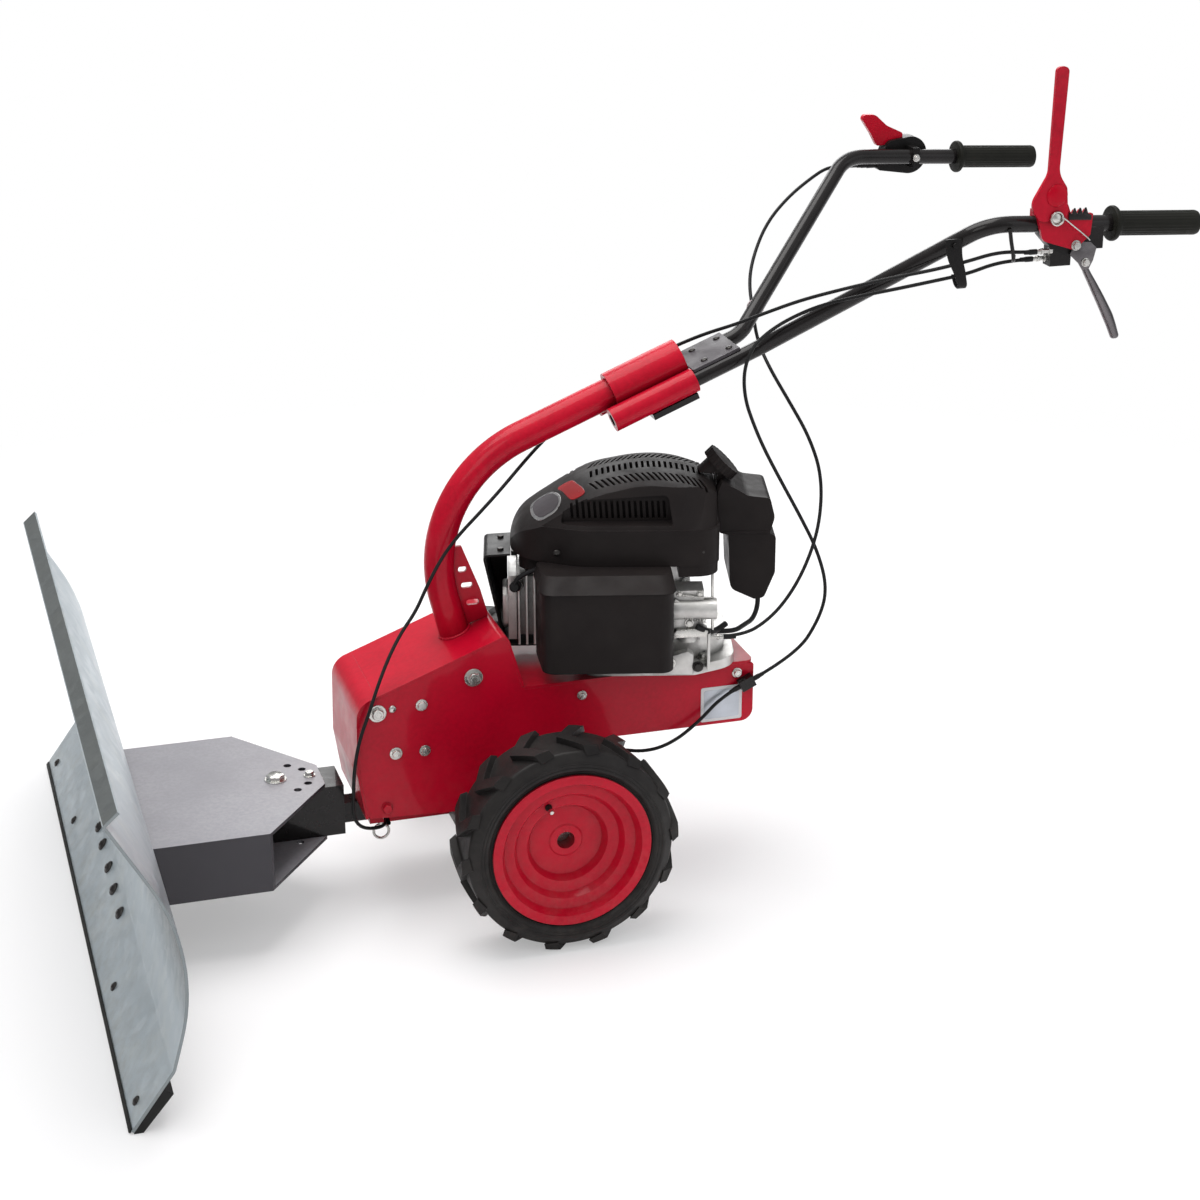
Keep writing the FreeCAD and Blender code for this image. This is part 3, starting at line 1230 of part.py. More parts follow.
def build_carburettor():
    """Carburettor between the intake and the air box, with its float bowl and fuel inlet."""
    body = block("carb_body", (-100, -58), (62, 100), (72, 128))
    throat = rod("carb_throat", "x", (-118, 96, 100), 15, 118 - dim.box_back)
    bowl = rod("carb_bowl", "z", (-80, 82, 50), 17, 24)
    inlet = rod("carb_inlet", "x", (-112, 76, 58), dim.hose_radius, 32)
    publish_engine(fuse("carburettor", [body, throat, bowl, inlet]), "carburettor")
    outlet = (-dim.cowl_back.value - 61, 20)
    hose = tube("fuel_hose", [Vector(*outlet, 90.4), Vector(*outlet, 58), Vector(-146, 76, 58),
                              Vector(-112, 76, 58)], [24, 24], dim.hose_radius)
    publish_engine(hose, "fuel_hose")


def build_guard():
    """Bent steel guard in front of the exhaust, fixed under the cylinder."""
    low, skin = dim.cylinder_low, dim.guard_skin
    shield = folded_sheet("guard_shield", [(110, low), (176, low, 4), (204, 161, 4), (168, 163)],
                          skin, dim.guard_half, side=-1)
    wall = upright("guard_wall", [(dim.head_front + 1, low - 1), (176, low - 1), (205, 162),
                                  (dim.head_front + 1, 163)], skin / 2 - dim.guard_half, skin)
    publish_engine(fuse("exhaust_guard", [shield, wall]), "exhaust_guard")


# ---------------------------------------------------------------- cables

def build_cables():
    """Three control cables, each from its stop to what it works."""
    radius = dim.cable_radius
    start = -664
    cord("drive_cable", [
        (start, 240, 912), (-632, 240, 912), (-596, 233, 908), (-560, 224, 894), (-526, 213, 886),
        (-484, 190, 873), (-440, 152, 856), (-400, 112, 837), (-370, 74, 811), (-344, 60, 790),
        (-321, 61, 770), (-309, 63, 738), (-312, 63, 698), (-326, 63, 660), (-342, 63, 624),
        (-367, 66, 576), (-393, 72, 527), (-420, 80, 472), (-434, 88, 416), (-422, 92, 372),
        (-387.3, 95, 322.0), (-321.97, 95, 291.65)], radius)
    cord("clutch_cable", [
        (-302.03, 95, 282.35), (-274, 95, 269.3), (-240, 99, 238), (-198, 106, 213),
        (-160, 98, 200), (-125, 62, 194), (-dim.case_back, 62, 194)], radius)
    cord("coupling_cable", [
        (start, 251, 924), (-632, 251, 924), (-594, 245, 926), (-552, 229, 911), (-515, 211, 899),
        (-476, 192, 889), (-448, 170, 878), (-420, 146, 866), (-378, 94, 841), (-342, 44, 812),
        (-314, 8, 790), (-285, -22, 773), (-256, -50, 753), (-218, -68, 731), (-170, -68, 706),
        (-118, -63, 680), (-76, -43, 652), (-37, -20, 630), (-3, 12, 614), (30, 30, 589),
        (61, 37, 562), (94, 37, 530), (118, 37, 499), (139, 39, 462), (156, 44, 430),
        (180, 56, 406), (202, 72, 378), (221, 89, 347), (237, 99, 311), (252, 99, 272),
        (260, 98, 231), (263, 98, 190), (263, 92, 150), (244, 78, 126), (206, 62, 120),
        (206, dim.bar_side / 2 + dim.socket_wall, 120)], radius)
    tip = engine_point(-110, 95, 57)
    lead = engine_point(-154, 95, 57)
    side = -dim.handle_spread - dim.handle_radius - dim.throttle_depth / 2 - 1
    stop = level_z(-683) - 14
    cord("throttle_cable", [
        (-622, side, stop), (-590, side, stop), (-556, -260, 946), (-524, -246, 934),
        (-483, -230, 912), (-446, -217, 880), (-419, -196, 842), (-394, -152, 811),
        (-380, -96, 780), (-368, -42, 750), (-370, 4, 722), (-390, 30, 680), (-414, 50, 632),
        (-427, 70, 580), (-418, 92, 520), (-396, 108, 470), (-366, 122, 428), (-330, 132, 396),
        (lead.x, lead.y, lead.z), (tip.x, tip.y, tip.z)], radius)
    clip = block("clip_block", (-11, 11), (0, 14), (-8, 8))
    publish(group("cable_clip", [clip]), "cable_clip", -312, dim.frame_half, 287,
            Vector(0, 1, 0), 25)


# ---------------------------------------------------------------- build

build_wheels()
build_gear_case()
build_side_plates()
build_frame_sheets()
build_column()
build_gusset()
clamp_x, clamp_z = build_handle_clamp()
build_handlebars(clamp_x, clamp_z)
build_clamp_plates(clamp_x, clamp_z)
build_drive_lever()
build_throttle()
build_coupling()
build_arm()
build_blade()
build_strip()
build_latch()
build_crankcase()
build_cylinder()
build_cowl()
build_air_box()
build_tank()
build_carburettor()
build_guard()
build_cables()

doc.recompute()

for item in doc.Objects:
    if "Invalid" in item.State or "Error" in item.State:
        raise RuntimeError(f"{item.Label} did not build: {item.State}")
for item in parts:
    if item.Shape.isNull() or not item.Shape.isValid():
        raise RuntimeError(f"{item.Label} has no valid shape")

os.makedirs("parts", exist_ok=True)
for item in parts:
    item.Shape.exportStep(f"parts/{item.Label}.step")
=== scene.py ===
import json
import math

import bmesh
import bpy
from mathutils import Matrix, Vector
from mathutils.bvhtree import BVHTree

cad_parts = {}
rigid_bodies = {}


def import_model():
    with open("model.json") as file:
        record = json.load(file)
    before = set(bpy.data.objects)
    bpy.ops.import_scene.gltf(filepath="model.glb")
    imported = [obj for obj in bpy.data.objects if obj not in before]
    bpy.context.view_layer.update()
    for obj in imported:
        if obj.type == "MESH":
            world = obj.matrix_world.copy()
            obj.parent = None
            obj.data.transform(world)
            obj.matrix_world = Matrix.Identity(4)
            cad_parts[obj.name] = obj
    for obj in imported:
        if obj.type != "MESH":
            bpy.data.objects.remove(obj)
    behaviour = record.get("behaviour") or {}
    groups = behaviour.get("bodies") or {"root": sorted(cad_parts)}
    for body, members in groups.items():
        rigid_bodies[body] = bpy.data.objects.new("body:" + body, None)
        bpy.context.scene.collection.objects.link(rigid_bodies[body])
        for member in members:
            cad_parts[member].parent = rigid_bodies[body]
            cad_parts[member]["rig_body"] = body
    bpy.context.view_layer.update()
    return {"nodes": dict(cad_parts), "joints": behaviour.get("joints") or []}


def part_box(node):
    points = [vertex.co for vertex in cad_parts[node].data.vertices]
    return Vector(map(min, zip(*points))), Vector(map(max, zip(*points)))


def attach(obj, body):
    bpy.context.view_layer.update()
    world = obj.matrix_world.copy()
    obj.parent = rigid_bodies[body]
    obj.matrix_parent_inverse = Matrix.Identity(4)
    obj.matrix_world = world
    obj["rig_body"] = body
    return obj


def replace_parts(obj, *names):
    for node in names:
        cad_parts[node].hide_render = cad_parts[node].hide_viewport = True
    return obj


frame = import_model()

MACHINE, BLADE = "machine", "blade"
SIDES = (1, "left"), (-1, "right")
LEFT, UP = Vector((0, 1, 0)), Vector((0, 0, 1))


# ---------------------------------------------------------------- places
# In millimetres: x forward from the wheel axle, y to the left, z up from the floor.

JOINTS = {joint["name"]: Vector(joint["pos_m"]) for joint in frame["joints"]}
AXLE, SWIVEL = JOINTS["left_wheel_spin"], JOINTS["blade_swivel"]

BAR_SIDE, BAR_BEND, BAR_BEND_HEIGHT = 244, -577, 963
BAR_RUN, BAR_DROP = 303, 16
BAR_WAY = Vector((-BAR_RUN, 0, -BAR_DROP)).normalized()
THROTTLE_X, GRIP_X = -683, -753

ENGINE_X, ENGINE_TURN = -165, math.radians(-15)
TRAY_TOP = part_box("engine_tray")[1].z
ENGINE = (Matrix.Translation((AXLE.x + ENGINE_X / 1000, 0, TRAY_TOP))
          @ Matrix.Rotation(ENGINE_TURN, 4, "Z"))

# Turns an outline (x, y) and its depth to (x, z) and depth along -y, or to (y, z) along x.
ON_SIDE = Matrix(((1, 0, 0, 0), (0, 0, -1, 0), (0, 1, 0, 0), (0, 0, 0, 1)))
ON_END = Matrix(((0, 0, 1, 0), (1, 0, 0, 0), (0, 1, 0, 0), (0, 0, 0, 1)))
AXLE_SIDE = Matrix.Translation((AXLE.x, 0, 0)) @ ON_SIDE


def at(x, y, z):
    """A point given in millimetres from the wheel axle, as metres in the row's frame."""
    return Vector((AXLE.x + x / 1000, y / 1000, z / 1000))


def bar_height(x):
    """The height of the handlebars' level run at x."""
    return BAR_BEND_HEIGHT + (x - BAR_BEND) * BAR_DROP / BAR_RUN


def on_engine(x, y, z):
    """A point in millimetres from the crankshaft's foot, along the turned engine."""
    return ENGINE @ Vector((x / 1000, y / 1000, z / 1000))


def engine_way(x, y, z):
    """A direction given along the turned engine."""
    return ENGINE.to_3x3() @ Vector((x, y, z)).normalized()


def facing(origin, direction):
    """A matrix at origin whose Z axis points along direction."""
    turn = UP.rotation_difference(Vector(direction).normalized())
    return Matrix.Translation(origin) @ turn.to_matrix().to_4x4()


# ---------------------------------------------------------------- camera, light and stage
# Places in metres, lamps as (name, place, size, watts, colour).

CAMERA_PLACE = (0.9515, 3.1126, 1.6506)
CAMERA_WAY = (-0.27256, -0.89276, -0.35873)
SENSOR_WIDTH, LENS = 36, 73.4
LAMP_TARGET = Vector((-0.1, 0, 0.35))
LAMPS = (("key", (0.5, -0.4, 3.5), 2.6, 92, (1, 0.985, 0.97)),
         ("front", (1.9, 2.4, 2.6), 1.6, 17, (1, 0.985, 0.96)),
         ("fill", (-2.8, 2.4, 1.8), 2.8, 16, (0.95, 0.975, 1)),
         ("back", (-0.95, -2.8, 1.95), 2.0, 36, (1, 1, 1)))
BACKDROP, SKY, PAPER = (0.985, 0.99, 0.985, 1), (0.97, 0.985, 1.0, 1), (0.92, 0.91, 0.92, 1)
SKY_LOW, SKY_HIGH = 0.24, 0.80
GLOW_START, GLOW_FULL, GLOW_LEAST = 0.9, 2.4, 0.36
FLOOR_HALF, FLOOR_DROP = 14, 0.0005


def aimed(name, data, place, way):
    """A camera or lamp at a place, looking along way."""
    made = bpy.data.objects.new(name, data)
    bpy.context.scene.collection.objects.link(made)
    made.location = place
    made.rotation_euler = Vector(way).to_track_quat("-Z", "Y").to_euler()
    return made


def build_camera():
    """The whole machine from its front left, as one stands beside it."""
    scene = bpy.context.scene
    scene.view_settings.view_transform = "Standard"
    data = bpy.data.cameras.new("view")
    data.sensor_width, data.lens = SENSOR_WIDTH, LENS
    scene.camera = aimed("view", data, CAMERA_PLACE, CAMERA_WAY)


def build_lamps():
    """Large soft panels over, before, beside and behind the object."""
    for name, place, size, power, colour in LAMPS:
        data = bpy.data.lights.new(name, "AREA")
        data.energy, data.size, data.color = power, size, colour
        aimed(name, data, place, LAMP_TARGET - Vector(place))


def empty_tree(owner):
    """The node tree of a world or a material, without nodes."""
    owner.use_nodes = True
    owner.node_tree.nodes.clear()
    return owner.node_tree


def ramp(tree, source, start, end, low, high):
    """source, stretched from the range start..end to low..high."""
    node = tree.nodes.new("ShaderNodeMapRange")
    for key, value in (("From Min", start), ("From Max", end), ("To Min", low),
                       ("To Max", high)):
        node.inputs[key].default_value = value
    tree.links.new(source, node.inputs["Value"])
    return node.outputs["Result"]


def output_mix(tree, kind, share, first, second):
    """Sends two shaders, mixed by share, to the tree's output."""
    mix, out = tree.nodes.new("ShaderNodeMixShader"), tree.nodes.new(kind)
    for source, target in ((share, mix.inputs["Fac"]), (first.outputs[0], mix.inputs[1]),
                           (second.outputs[0], mix.inputs[2]),
                           (mix.outputs[0], out.inputs["Surface"])):
        tree.links.new(source, target)


def build_world():
    """White to the camera; as light, a soft sky that is stronger overhead."""
    world = bpy.data.worlds.new("studio")
    bpy.context.scene.world = world
    tree = empty_tree(world)
    seen, lit = (tree.nodes.new("ShaderNodeBackground") for _ in range(2))
    seen.inputs["Color"].default_value = BACKDROP
    lit.inputs["Color"].default_value = SKY
    way = tree.nodes.new("ShaderNodeSeparateXYZ")
    tree.links.new(tree.nodes.new("ShaderNodeTexCoord").outputs["Generated"], way.inputs[0])
    tree.links.new(ramp(tree, way.outputs["Z"], 0.0, 1.0, SKY_LOW, SKY_HIGH),
                   lit.inputs["Strength"])
    path = tree.nodes.new("ShaderNodeLightPath")
    output_mix(tree, "ShaderNodeOutputWorld", path.outputs["Is Camera Ray"], lit, seen)


def build_floor():
    """Pale paper that takes the soft shadow and fades to white away from the object."""
    bm = bmesh.new()
    bmesh.ops.create_grid(bm, x_segments=1, y_segments=1, size=FLOOR_HALF)
    mesh = bpy.data.meshes.new("floor")
    bm.to_mesh(mesh)
    bm.free()
    floor = bpy.data.objects.new("floor", mesh)
    bpy.context.scene.collection.objects.link(floor)
    floor.location.z = -FLOOR_DROP
    material = bpy.data.materials.new("floor_paper")
    mesh.materials.append(material)
    tree = empty_tree(material)
    paper = tree.nodes.new("ShaderNodeBsdfDiffuse")
    paper.inputs["Color"].default_value = PAPER
    glow = tree.nodes.new("ShaderNodeEmission")
    reach = tree.nodes.new("ShaderNodeVectorMath")
    reach.operation = "LENGTH"
    tree.links.new(tree.nodes.new("ShaderNodeTexCoord").outputs["Object"], reach.inputs[0])
    share = tree.nodes.new("ShaderNodeMath")
    share.operation = "MULTIPLY"
    path = tree.nodes.new("ShaderNodeLightPath")
    tree.links.new(path.outputs["Is Camera Ray"], share.inputs[0])
    tree.links.new(ramp(tree, reach.outputs["Value"], GLOW_START, GLOW_FULL, GLOW_LEAST, 1.0),
                   share.inputs[1])
    output_mix(tree, "ShaderNodeOutputMaterial", share.outputs[0], paper, glow)


# ---------------------------------------------------------------- materials
# Lengths inside the shaders are in metres; noise scales are cells per metre.

SOFT_EDGE, RUBBED_EDGE = 0.001, 0.0016


def shade(colour, share):
    return tuple(part * share for part in colour)


class Shader:
    """A principled material with procedural colour, roughness and bump."""

    def __init__(self, name, colour, roughness, metallic=0.0, coat=0.0, coat_roughness=0.05,
                 specular=0.5):
        self.material = bpy.data.materials.new(name)
        self.material.use_nodes = True
        self.tree = self.material.node_tree
        self.surface = self.tree.nodes["Principled BSDF"]
        for key, value in (("Base Color", (*colour, 1)), ("Roughness", roughness),
                           ("Metallic", metallic), ("Coat Weight", coat),
                           ("Coat Roughness", coat_roughness),
                           ("Specular IOR Level", specular)):
            self.surface.inputs[key].default_value = value
        self.colour, self.roughness = colour, roughness
        self.place = self.node("ShaderNodeTexCoord").outputs["Object"]
        self.normal = self.rounded(SOFT_EDGE)

    def node(self, kind, **values):
        """A new node with its properties or its inputs set by name."""
        node = self.tree.nodes.new(kind)
        for key, value in values.items():
            if hasattr(node, key):
                setattr(node, key, value)
            else:
                node.inputs[key].default_value = value
        return node

    def link(self, source, target):
        self.tree.links.new(source, target)

    def rounded(self, radius):
        """The surface's normal, with every edge rounded to a radius."""
        return self.node("ShaderNodeBevel", samples=4, Radius=radius).outputs["Normal"]

    def upward(self, source):
        """The Z part of a place or a normal."""
        split = self.node("ShaderNodeSeparateXYZ")
        self.link(source, split.inputs[0])
        return split.outputs["Z"]

    def product(self, first, second):
        node = self.node("ShaderNodeMath", operation="MULTIPLY")
        self.link(first, node.inputs[0])
        self.link(second, node.inputs[1])
        return node.outputs[0]

    def noise(self, scale, detail=3.0, rough=0.55, stretch=None):
        node = self.node("ShaderNodeTexNoise", Scale=scale, Detail=detail, Roughness=rough)
        source = self.place
        if stretch:
            mapping = self.node("ShaderNodeMapping", Scale=stretch)
            self.link(source, mapping.inputs["Vector"])
            source = mapping.outputs["Vector"]
        self.link(source, node.inputs["Vector"])
        return node.outputs["Fac"]

    def spread(self, source, low, high, start=0.35, end=0.65):
        """source, stretched from the range start..end to low..high."""
        return ramp(self.tree, source, start, end, low, high)

    def tint(self, source, other, low=0.0, high=1.0, start=0.35, end=0.65):
        """Mixes another colour in where source is high."""
        mix = self.node("ShaderNodeMix", data_type="RGBA")
        self.link(self.spread(source, low, high, start, end), mix.inputs["Factor"])
        base = self.surface.inputs["Base Color"]
        if base.is_linked:
            self.link(base.links[0].from_socket, mix.inputs["A"])
        else:
            mix.inputs["A"].default_value = (*self.colour, 1)
        mix.inputs["B"].default_value = (*other, 1)
        self.link(mix.outputs["Result"], base)

    def vary_roughness(self, source, amount, start=0.35, end=0.65):
        low, high = max(self.roughness - amount, 0.02), self.roughness + amount
        self.link(self.spread(source, low, high, start, end), self.surface.inputs["Roughness"])

    def bump(self, source, distance, strength=1.0):
        """Relief of a depth, over the relief that is there already."""
        node = self.node("ShaderNodeBump", Strength=strength, Distance=distance)
        self.link(source, node.inputs["Height"])
        self.link(self.normal, node.inputs["Normal"])
        self.normal = node.outputs["Normal"]
        self.link(self.normal, self.surface.inputs["Normal"])

    def worn_edges(self, colour):
        """The colour that shows where handling has rubbed the edges."""
        turned = self.node("ShaderNodeVectorMath", operation="DOT_PRODUCT")
        self.link(self.rounded(RUBBED_EDGE), turned.inputs[0])
        self.link(self.node("ShaderNodeNewGeometry").outputs["Normal"], turned.inputs[1])
        edge = self.spread(turned.outputs["Value"], 1.0, 0.0, 0.80, 0.97)
        patchy = self.spread(self.noise(75, 5, 0.7), 0.0, 0.5, 0.40, 0.62)
        self.tint(self.product(edge, patchy), colour, 0.0, 1.0, 0.0, 1.0)

    def painted_facing_shade(self, colour, bare, full_shade, amount=1.0):
        """Painted shade: a darker colour that sets in as the normal's upward share goes from
        the unshaded level to the fully shaded one.
        """
        normal = self.node("ShaderNodeTexCoord").outputs["Normal"]
        self.tint(self.upward(normal), colour, amount, 0.0, full_shade, bare)

    def painted_hollow_shade(self, colour, reach):
        """Painted shade: a deeper tone where faces stand within reach of each other."""
        closeness = self.node("ShaderNodeAmbientOcclusion", samples=4, Distance=reach)
        self.tint(closeness.outputs["AO"], colour, 0.9, 0.0, 0.35, 0.9)

    def dust(self, colour, top, strength):
        """Faint dust that thins out with height, up to top."""
        height = self.spread(self.upward(self.place), 1.0, 0.0, 0.0, top)
        scatter = self.spread(self.noise(55, 5, 0.7), 0.0, strength, 0.42, 0.72)
        self.tint(self.product(height, scatter), colour, 0.0, 1.0, 0.0, 1.0)


def red_enamel():
    """Glossy red paint with painted shade in the recesses, rubbed at the edges and dusty low
    down.
    """
    colour = (0.50, 0.002, 0.020)
    shader = Shader("red_enamel", colour, 0.38, coat=0.20, coat_roughness=0.07, specular=0.12)
    shader.tint(shader.noise(9), shade(colour, 0.80))
    shader.tint(shader.noise(160, 2), shade(colour, 1.12), 0, 0.5)
    shader.vary_roughness(shader.noise(30, 4), 0.05)
    shader.bump(shader.noise(420, 2), 0.00004)
    shader.bump(shader.noise(38, 2), 0.00012)
    # painted shade: the red darkens where faces stand close together
    shader.painted_hollow_shade(shade(colour, 0.42), 0.035)
    shader.worn_edges((0.20, 0.05, 0.05))
    shader.dust((0.30, 0.20, 0.17), 0.26, 0.14)
    return shader.material


def black_enamel():
    """Glossy black paint, greyer at the edges."""
    shader = Shader("black_enamel", (0.006, 0.005, 0.005), 0.30, coat=0.34,
                    coat_roughness=0.06, specular=0.12)
    shader.tint(shader.noise(14), (0.012, 0.010, 0.010))
    shader.worn_edges((0.10, 0.095, 0.09))
    shader.vary_roughness(shader.noise(60, 4), 0.06)
    shader.bump(shader.noise(300, 2), 0.00005)
    return shader.material


def galvanised_sheet():
    """Zinc spangle with duller streaks, and painted shade on the faces that turn down or stand
    steep.
    """
    shader = Shader("galvanised", (0.40, 0.46, 0.49), 0.40, metallic=0.72)
    cells = shader.node("ShaderNodeTexVoronoi", Scale=64.0)
    shader.link(shader.place, cells.inputs["Vector"])
    split = shader.node("ShaderNodeSeparateColor")
    shader.link(cells.outputs["Color"], split.inputs[0])
    spangle = split.outputs[0]
    shader.tint(spangle, (0.50, 0.56, 0.59), 0, 0.75, 0.0, 1.0)
    shader.tint(shader.noise(5, 4, 0.6, (1, 0.35, 1)), (0.30, 0.35, 0.38), 0, 0.7, 0.4, 0.7)
    shader.tint(shader.noise(16, 5, 0.7), (0.46, 0.49, 0.47), 0, 0.6, 0.5, 0.75)
    # painted shade on the faces that turn down, then on all but the faces turned well up
    shader.painted_facing_shade((0.10, 0.105, 0.10), 0.22, -0.12, 0.85)
    shader.painted_facing_shade((0.13, 0.135, 0.125), 0.66, 0.735, 0.8)
    shader.vary_roughness(spangle, 0.09, 0.0, 1.0)
    shader.bump(shader.noise(260, 3), 0.00004)
    shader.bump(shader.noise(12, 2), 0.0005, 0.5)
    shader.dust((0.25, 0.23, 0.2), 0.12, 0.4)
    return shader.material


def plain_steel(name, colour, roughness, metallic=1.0, stretch=None, scale=90, depth=0.00004):
    """Zinc or bare steel, brushed along one way where a stretch is given."""
    shader = Shader(name, colour, roughness, metallic=metallic)
    shader.tint(shader.noise(18, 4), shade(colour, 0.72), 0, 0.8)
    shader.vary_roughness(shader.noise(scale, 4, 0.6, stretch), 0.08)
    shader.bump(shader.noise(scale * 3, 3, 0.6, stretch), depth)
    return shader.material


def satin_grey(name, colour, other, coat=0.06, side=None):
    """Satin paint, with painted shade in a side colour on the upright faces where one is given.
    """
    shader = Shader(name, colour, 0.42, coat=coat, coat_roughness=0.22, specular=0.2)
    shader.tint(shader.noise(4.5, 4, 0.6), other, 0, 0.9, 0.38, 0.62)
    shader.tint(shader.noise(210, 3), shade(colour, 0.9), 0, 0.5)
    # painted shade on the upright faces
    if side:
        shader.painted_facing_shade(side, 0.75, 0.25)
    shader.vary_roughness(shader.noise(26, 4), 0.08)
    shader.bump(shader.noise(500, 2), 0.00003)
    return shader.material


def moulded(name, colour, other, roughness, grain=900, depth=0.00007, specular=0.14):
    """Plastic or rubber with a moulded grain."""
    shader = Shader(name, colour, roughness, specular=specular)
    shader.tint(shader.noise(11, 4), other, 0, 0.9)
    shader.vary_roughness(shader.noise(40, 4), 0.07)
    shader.bump(shader.noise(grain, 3, 0.7), depth)
    return shader.material


def cast_metal(name, colour, other, roughness, metallic):
    """A cast skin with a sandy relief, and painted shade between its ribs."""
    shader = Shader(name, colour, roughness, metallic=metallic)
    shader.tint(shader.noise(34, 5, 0.65), other, 0, 0.9)
    shader.vary_roughness(shader.noise(70, 4), 0.1)
    # painted shade between the ribs and in the recesses
    shader.painted_hollow_shade(shade(colour, 0.12), 0.014)
    shader.bump(shader.noise(480, 4, 0.7), 0.000175)
    shader.bump(shader.noise(120, 3), 0.00035)
    return shader.material


def tyre_rubber():
    """Black rubber with dust from the ground."""
    shader = Shader("tyre_rubber", (0.010, 0.0085, 0.0085), 0.46, specular=0.2)
    shader.tint(shader.noise(16, 5, 0.65), (0.021, 0.019, 0.018), 0, 0.9)
    shader.vary_roughness(shader.noise(34, 4), 0.09)
    shader.bump(shader.noise(700, 3, 0.7), 0.00009)
    shader.dust((0.09, 0.078, 0.068), 0.30, 0.25)
    return shader.material


MATERIALS = {
    "red_paint": red_enamel(),
    "black_paint": black_enamel(),
    "galvanised": galvanised_sheet(),
    # the arm's upright faces get painted shade in the side colour
    "grey_arm": satin_grey("arm_grey", (0.25, 0.245, 0.265), (0.31, 0.303, 0.325), coat=0.3,
                           side=(0.045, 0.042, 0.050)),
    "grey_plate": satin_grey("plate_grey", (0.050, 0.044, 0.050), (0.075, 0.066, 0.074)),
    "bare_steel": plain_steel("zinc", (0.66, 0.65, 0.62), 0.27),
    "cast_case": cast_metal("case_iron", (0.10, 0.095, 0.095), (0.15, 0.14, 0.135), 0.55, 0.4),
    "cast_aluminium": cast_metal("die_cast", (0.70, 0.69, 0.67), (0.54, 0.53, 0.51), 0.38, 0.6),
    "engine_plastic": moulded("engine_plastic", (0.0135, 0.0110, 0.0110),
                              (0.019, 0.0155, 0.015), 0.47, specular=0.09),
    "control_plastic": moulded("control_plastic", (0.008, 0.0075, 0.0075),
                               (0.013, 0.012, 0.012), 0.36),
    "red_plastic": moulded("red_plastic", (0.50, 0.002, 0.018), (0.42, 0.002, 0.014), 0.24,
                           700, 0.00003),
    "tyre_rubber": tyre_rubber(),
    "grip_rubber": moulded("grip_rubber", (0.0085, 0.0085, 0.0065), (0.014, 0.014, 0.011),
                           0.50, 650, 0.00008),
    "strip_rubber": moulded("strip_rubber", (0.018, 0.018, 0.018), (0.033, 0.032, 0.03), 0.66,
                            420, 0.00016),
    "cable_rubber": moulded("cable_rubber", (0.012, 0.012, 0.013), (0.018, 0.018, 0.018), 0.4,
                            800, 0.00004),
}
DARK_STEEL = plain_steel("dark_steel", (0.055, 0.052, 0.05), 0.36)
DARK_CHROME = plain_steel("dark_chrome", (0.16, 0.15, 0.155), 0.22)
NYLON = moulded("nylon_tie", (0.62, 0.50, 0.52), (0.68, 0.58, 0.59), 0.35, 500, 0.00003)
BADGE_RED = moulded("badge_red", (0.34, 0.012, 0.014), (0.28, 0.01, 0.012), 0.25, 700, 0.00002)
BADGE_SILVER = plain_steel("badge_silver", (0.42, 0.41, 0.41), 0.32)
LABEL_WHITE = moulded("label_white", (0.72, 0.71, 0.72), (0.66, 0.65, 0.66), 0.42, 500, 0.00002)
LABEL_SILVER = plain_steel("label_silver", (0.52, 0.55, 0.60), 0.36, 0.6, (1, 1, 40), 14,
                           0.00001)


def dress_nodes():
    """Every CAD node gets the detailed material of its slot, or a finish of its own."""
    finish = {"cable_clip": MATERIALS["black_paint"],
              "exhaust_guard": MATERIALS["control_plastic"]}
    for name, node in frame["nodes"].items():
        for place in node.material_slots:
            slot = place.material.name.split(".")[0]
            if slot in MATERIALS:
                place.material = finish.get(name, MATERIALS[slot])


# ---------------------------------------------------------------- mesh helpers
# Radii, heights, thicknesses and outlines are in millimetres; points and matrices in metres.

THREAD_PITCH = 1.2


def finished(name, data, slot, material, body):
    """An object of a mesh or curve in its slot's material or another, riding on its body."""
    data.materials.append(material or MATERIALS[slot])
    made = bpy.data.objects.new(name, data)
    bpy.context.scene.collection.objects.link(made)
    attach(made, body)
    return made


def piece(name, bm, slot=None, material=None, body=MACHINE, angle=35, matrix=None):
    """A finished object from a bmesh, shaded smooth below the angle."""
    if matrix is not None:
        bm.transform(matrix)
    bmesh.ops.recalc_face_normals(bm, faces=bm.faces)
    mesh = bpy.data.meshes.new(name)
    bm.to_mesh(mesh)
    bm.free()
    mesh.polygons.foreach_set("use_smooth", [True] * len(mesh.polygons))
    mesh.set_sharp_from_angle(angle=math.radians(angle))
    return finished(name, mesh, slot, material, body)


def wire(name, points, radius, slot=None, material=None, body=MACHINE, closed=False, order=3,
         steps=6):
    """A bent rod, cord or spring: a NURBS line with a round section."""
    data = bpy.data.curves.new(name, "CURVE")
    data.dimensions = "3D"
    data.bevel_depth = radius / 1000
    data.bevel_resolution = 4
    data.resolution_u = steps
    data.use_fill_caps = True
    line = data.splines.new("NURBS")
    line.points.add(len(points) - 1)
    for point, place in zip(line.points, points):
        point.co = (*place, 1)
    line.order_u = order
    line.use_endpoint_u = not closed
    line.use_cyclic_u = closed
    return finished(name, data, slot, material, body)


def polar(radius, angle, height=0.0):
    """A point in metres from a radius and a height in millimetres."""
    return Vector((radius / 1000 * math.cos(angle), radius / 1000 * math.sin(angle),
                   height / 1000))


def bridge(bm, rows):
    """Joins closed rows of vertices with faces, and caps the first and the last."""
    count = len(rows[0])
    for first, second in zip(rows, rows[1:]):
        for i in range(count):
            j = (i + 1) % count
            bm.faces.new([first[i], first[j], second[j], second[i]])
    bm.faces.new(rows[-1])
    bm.faces.new(rows[0][::-1])


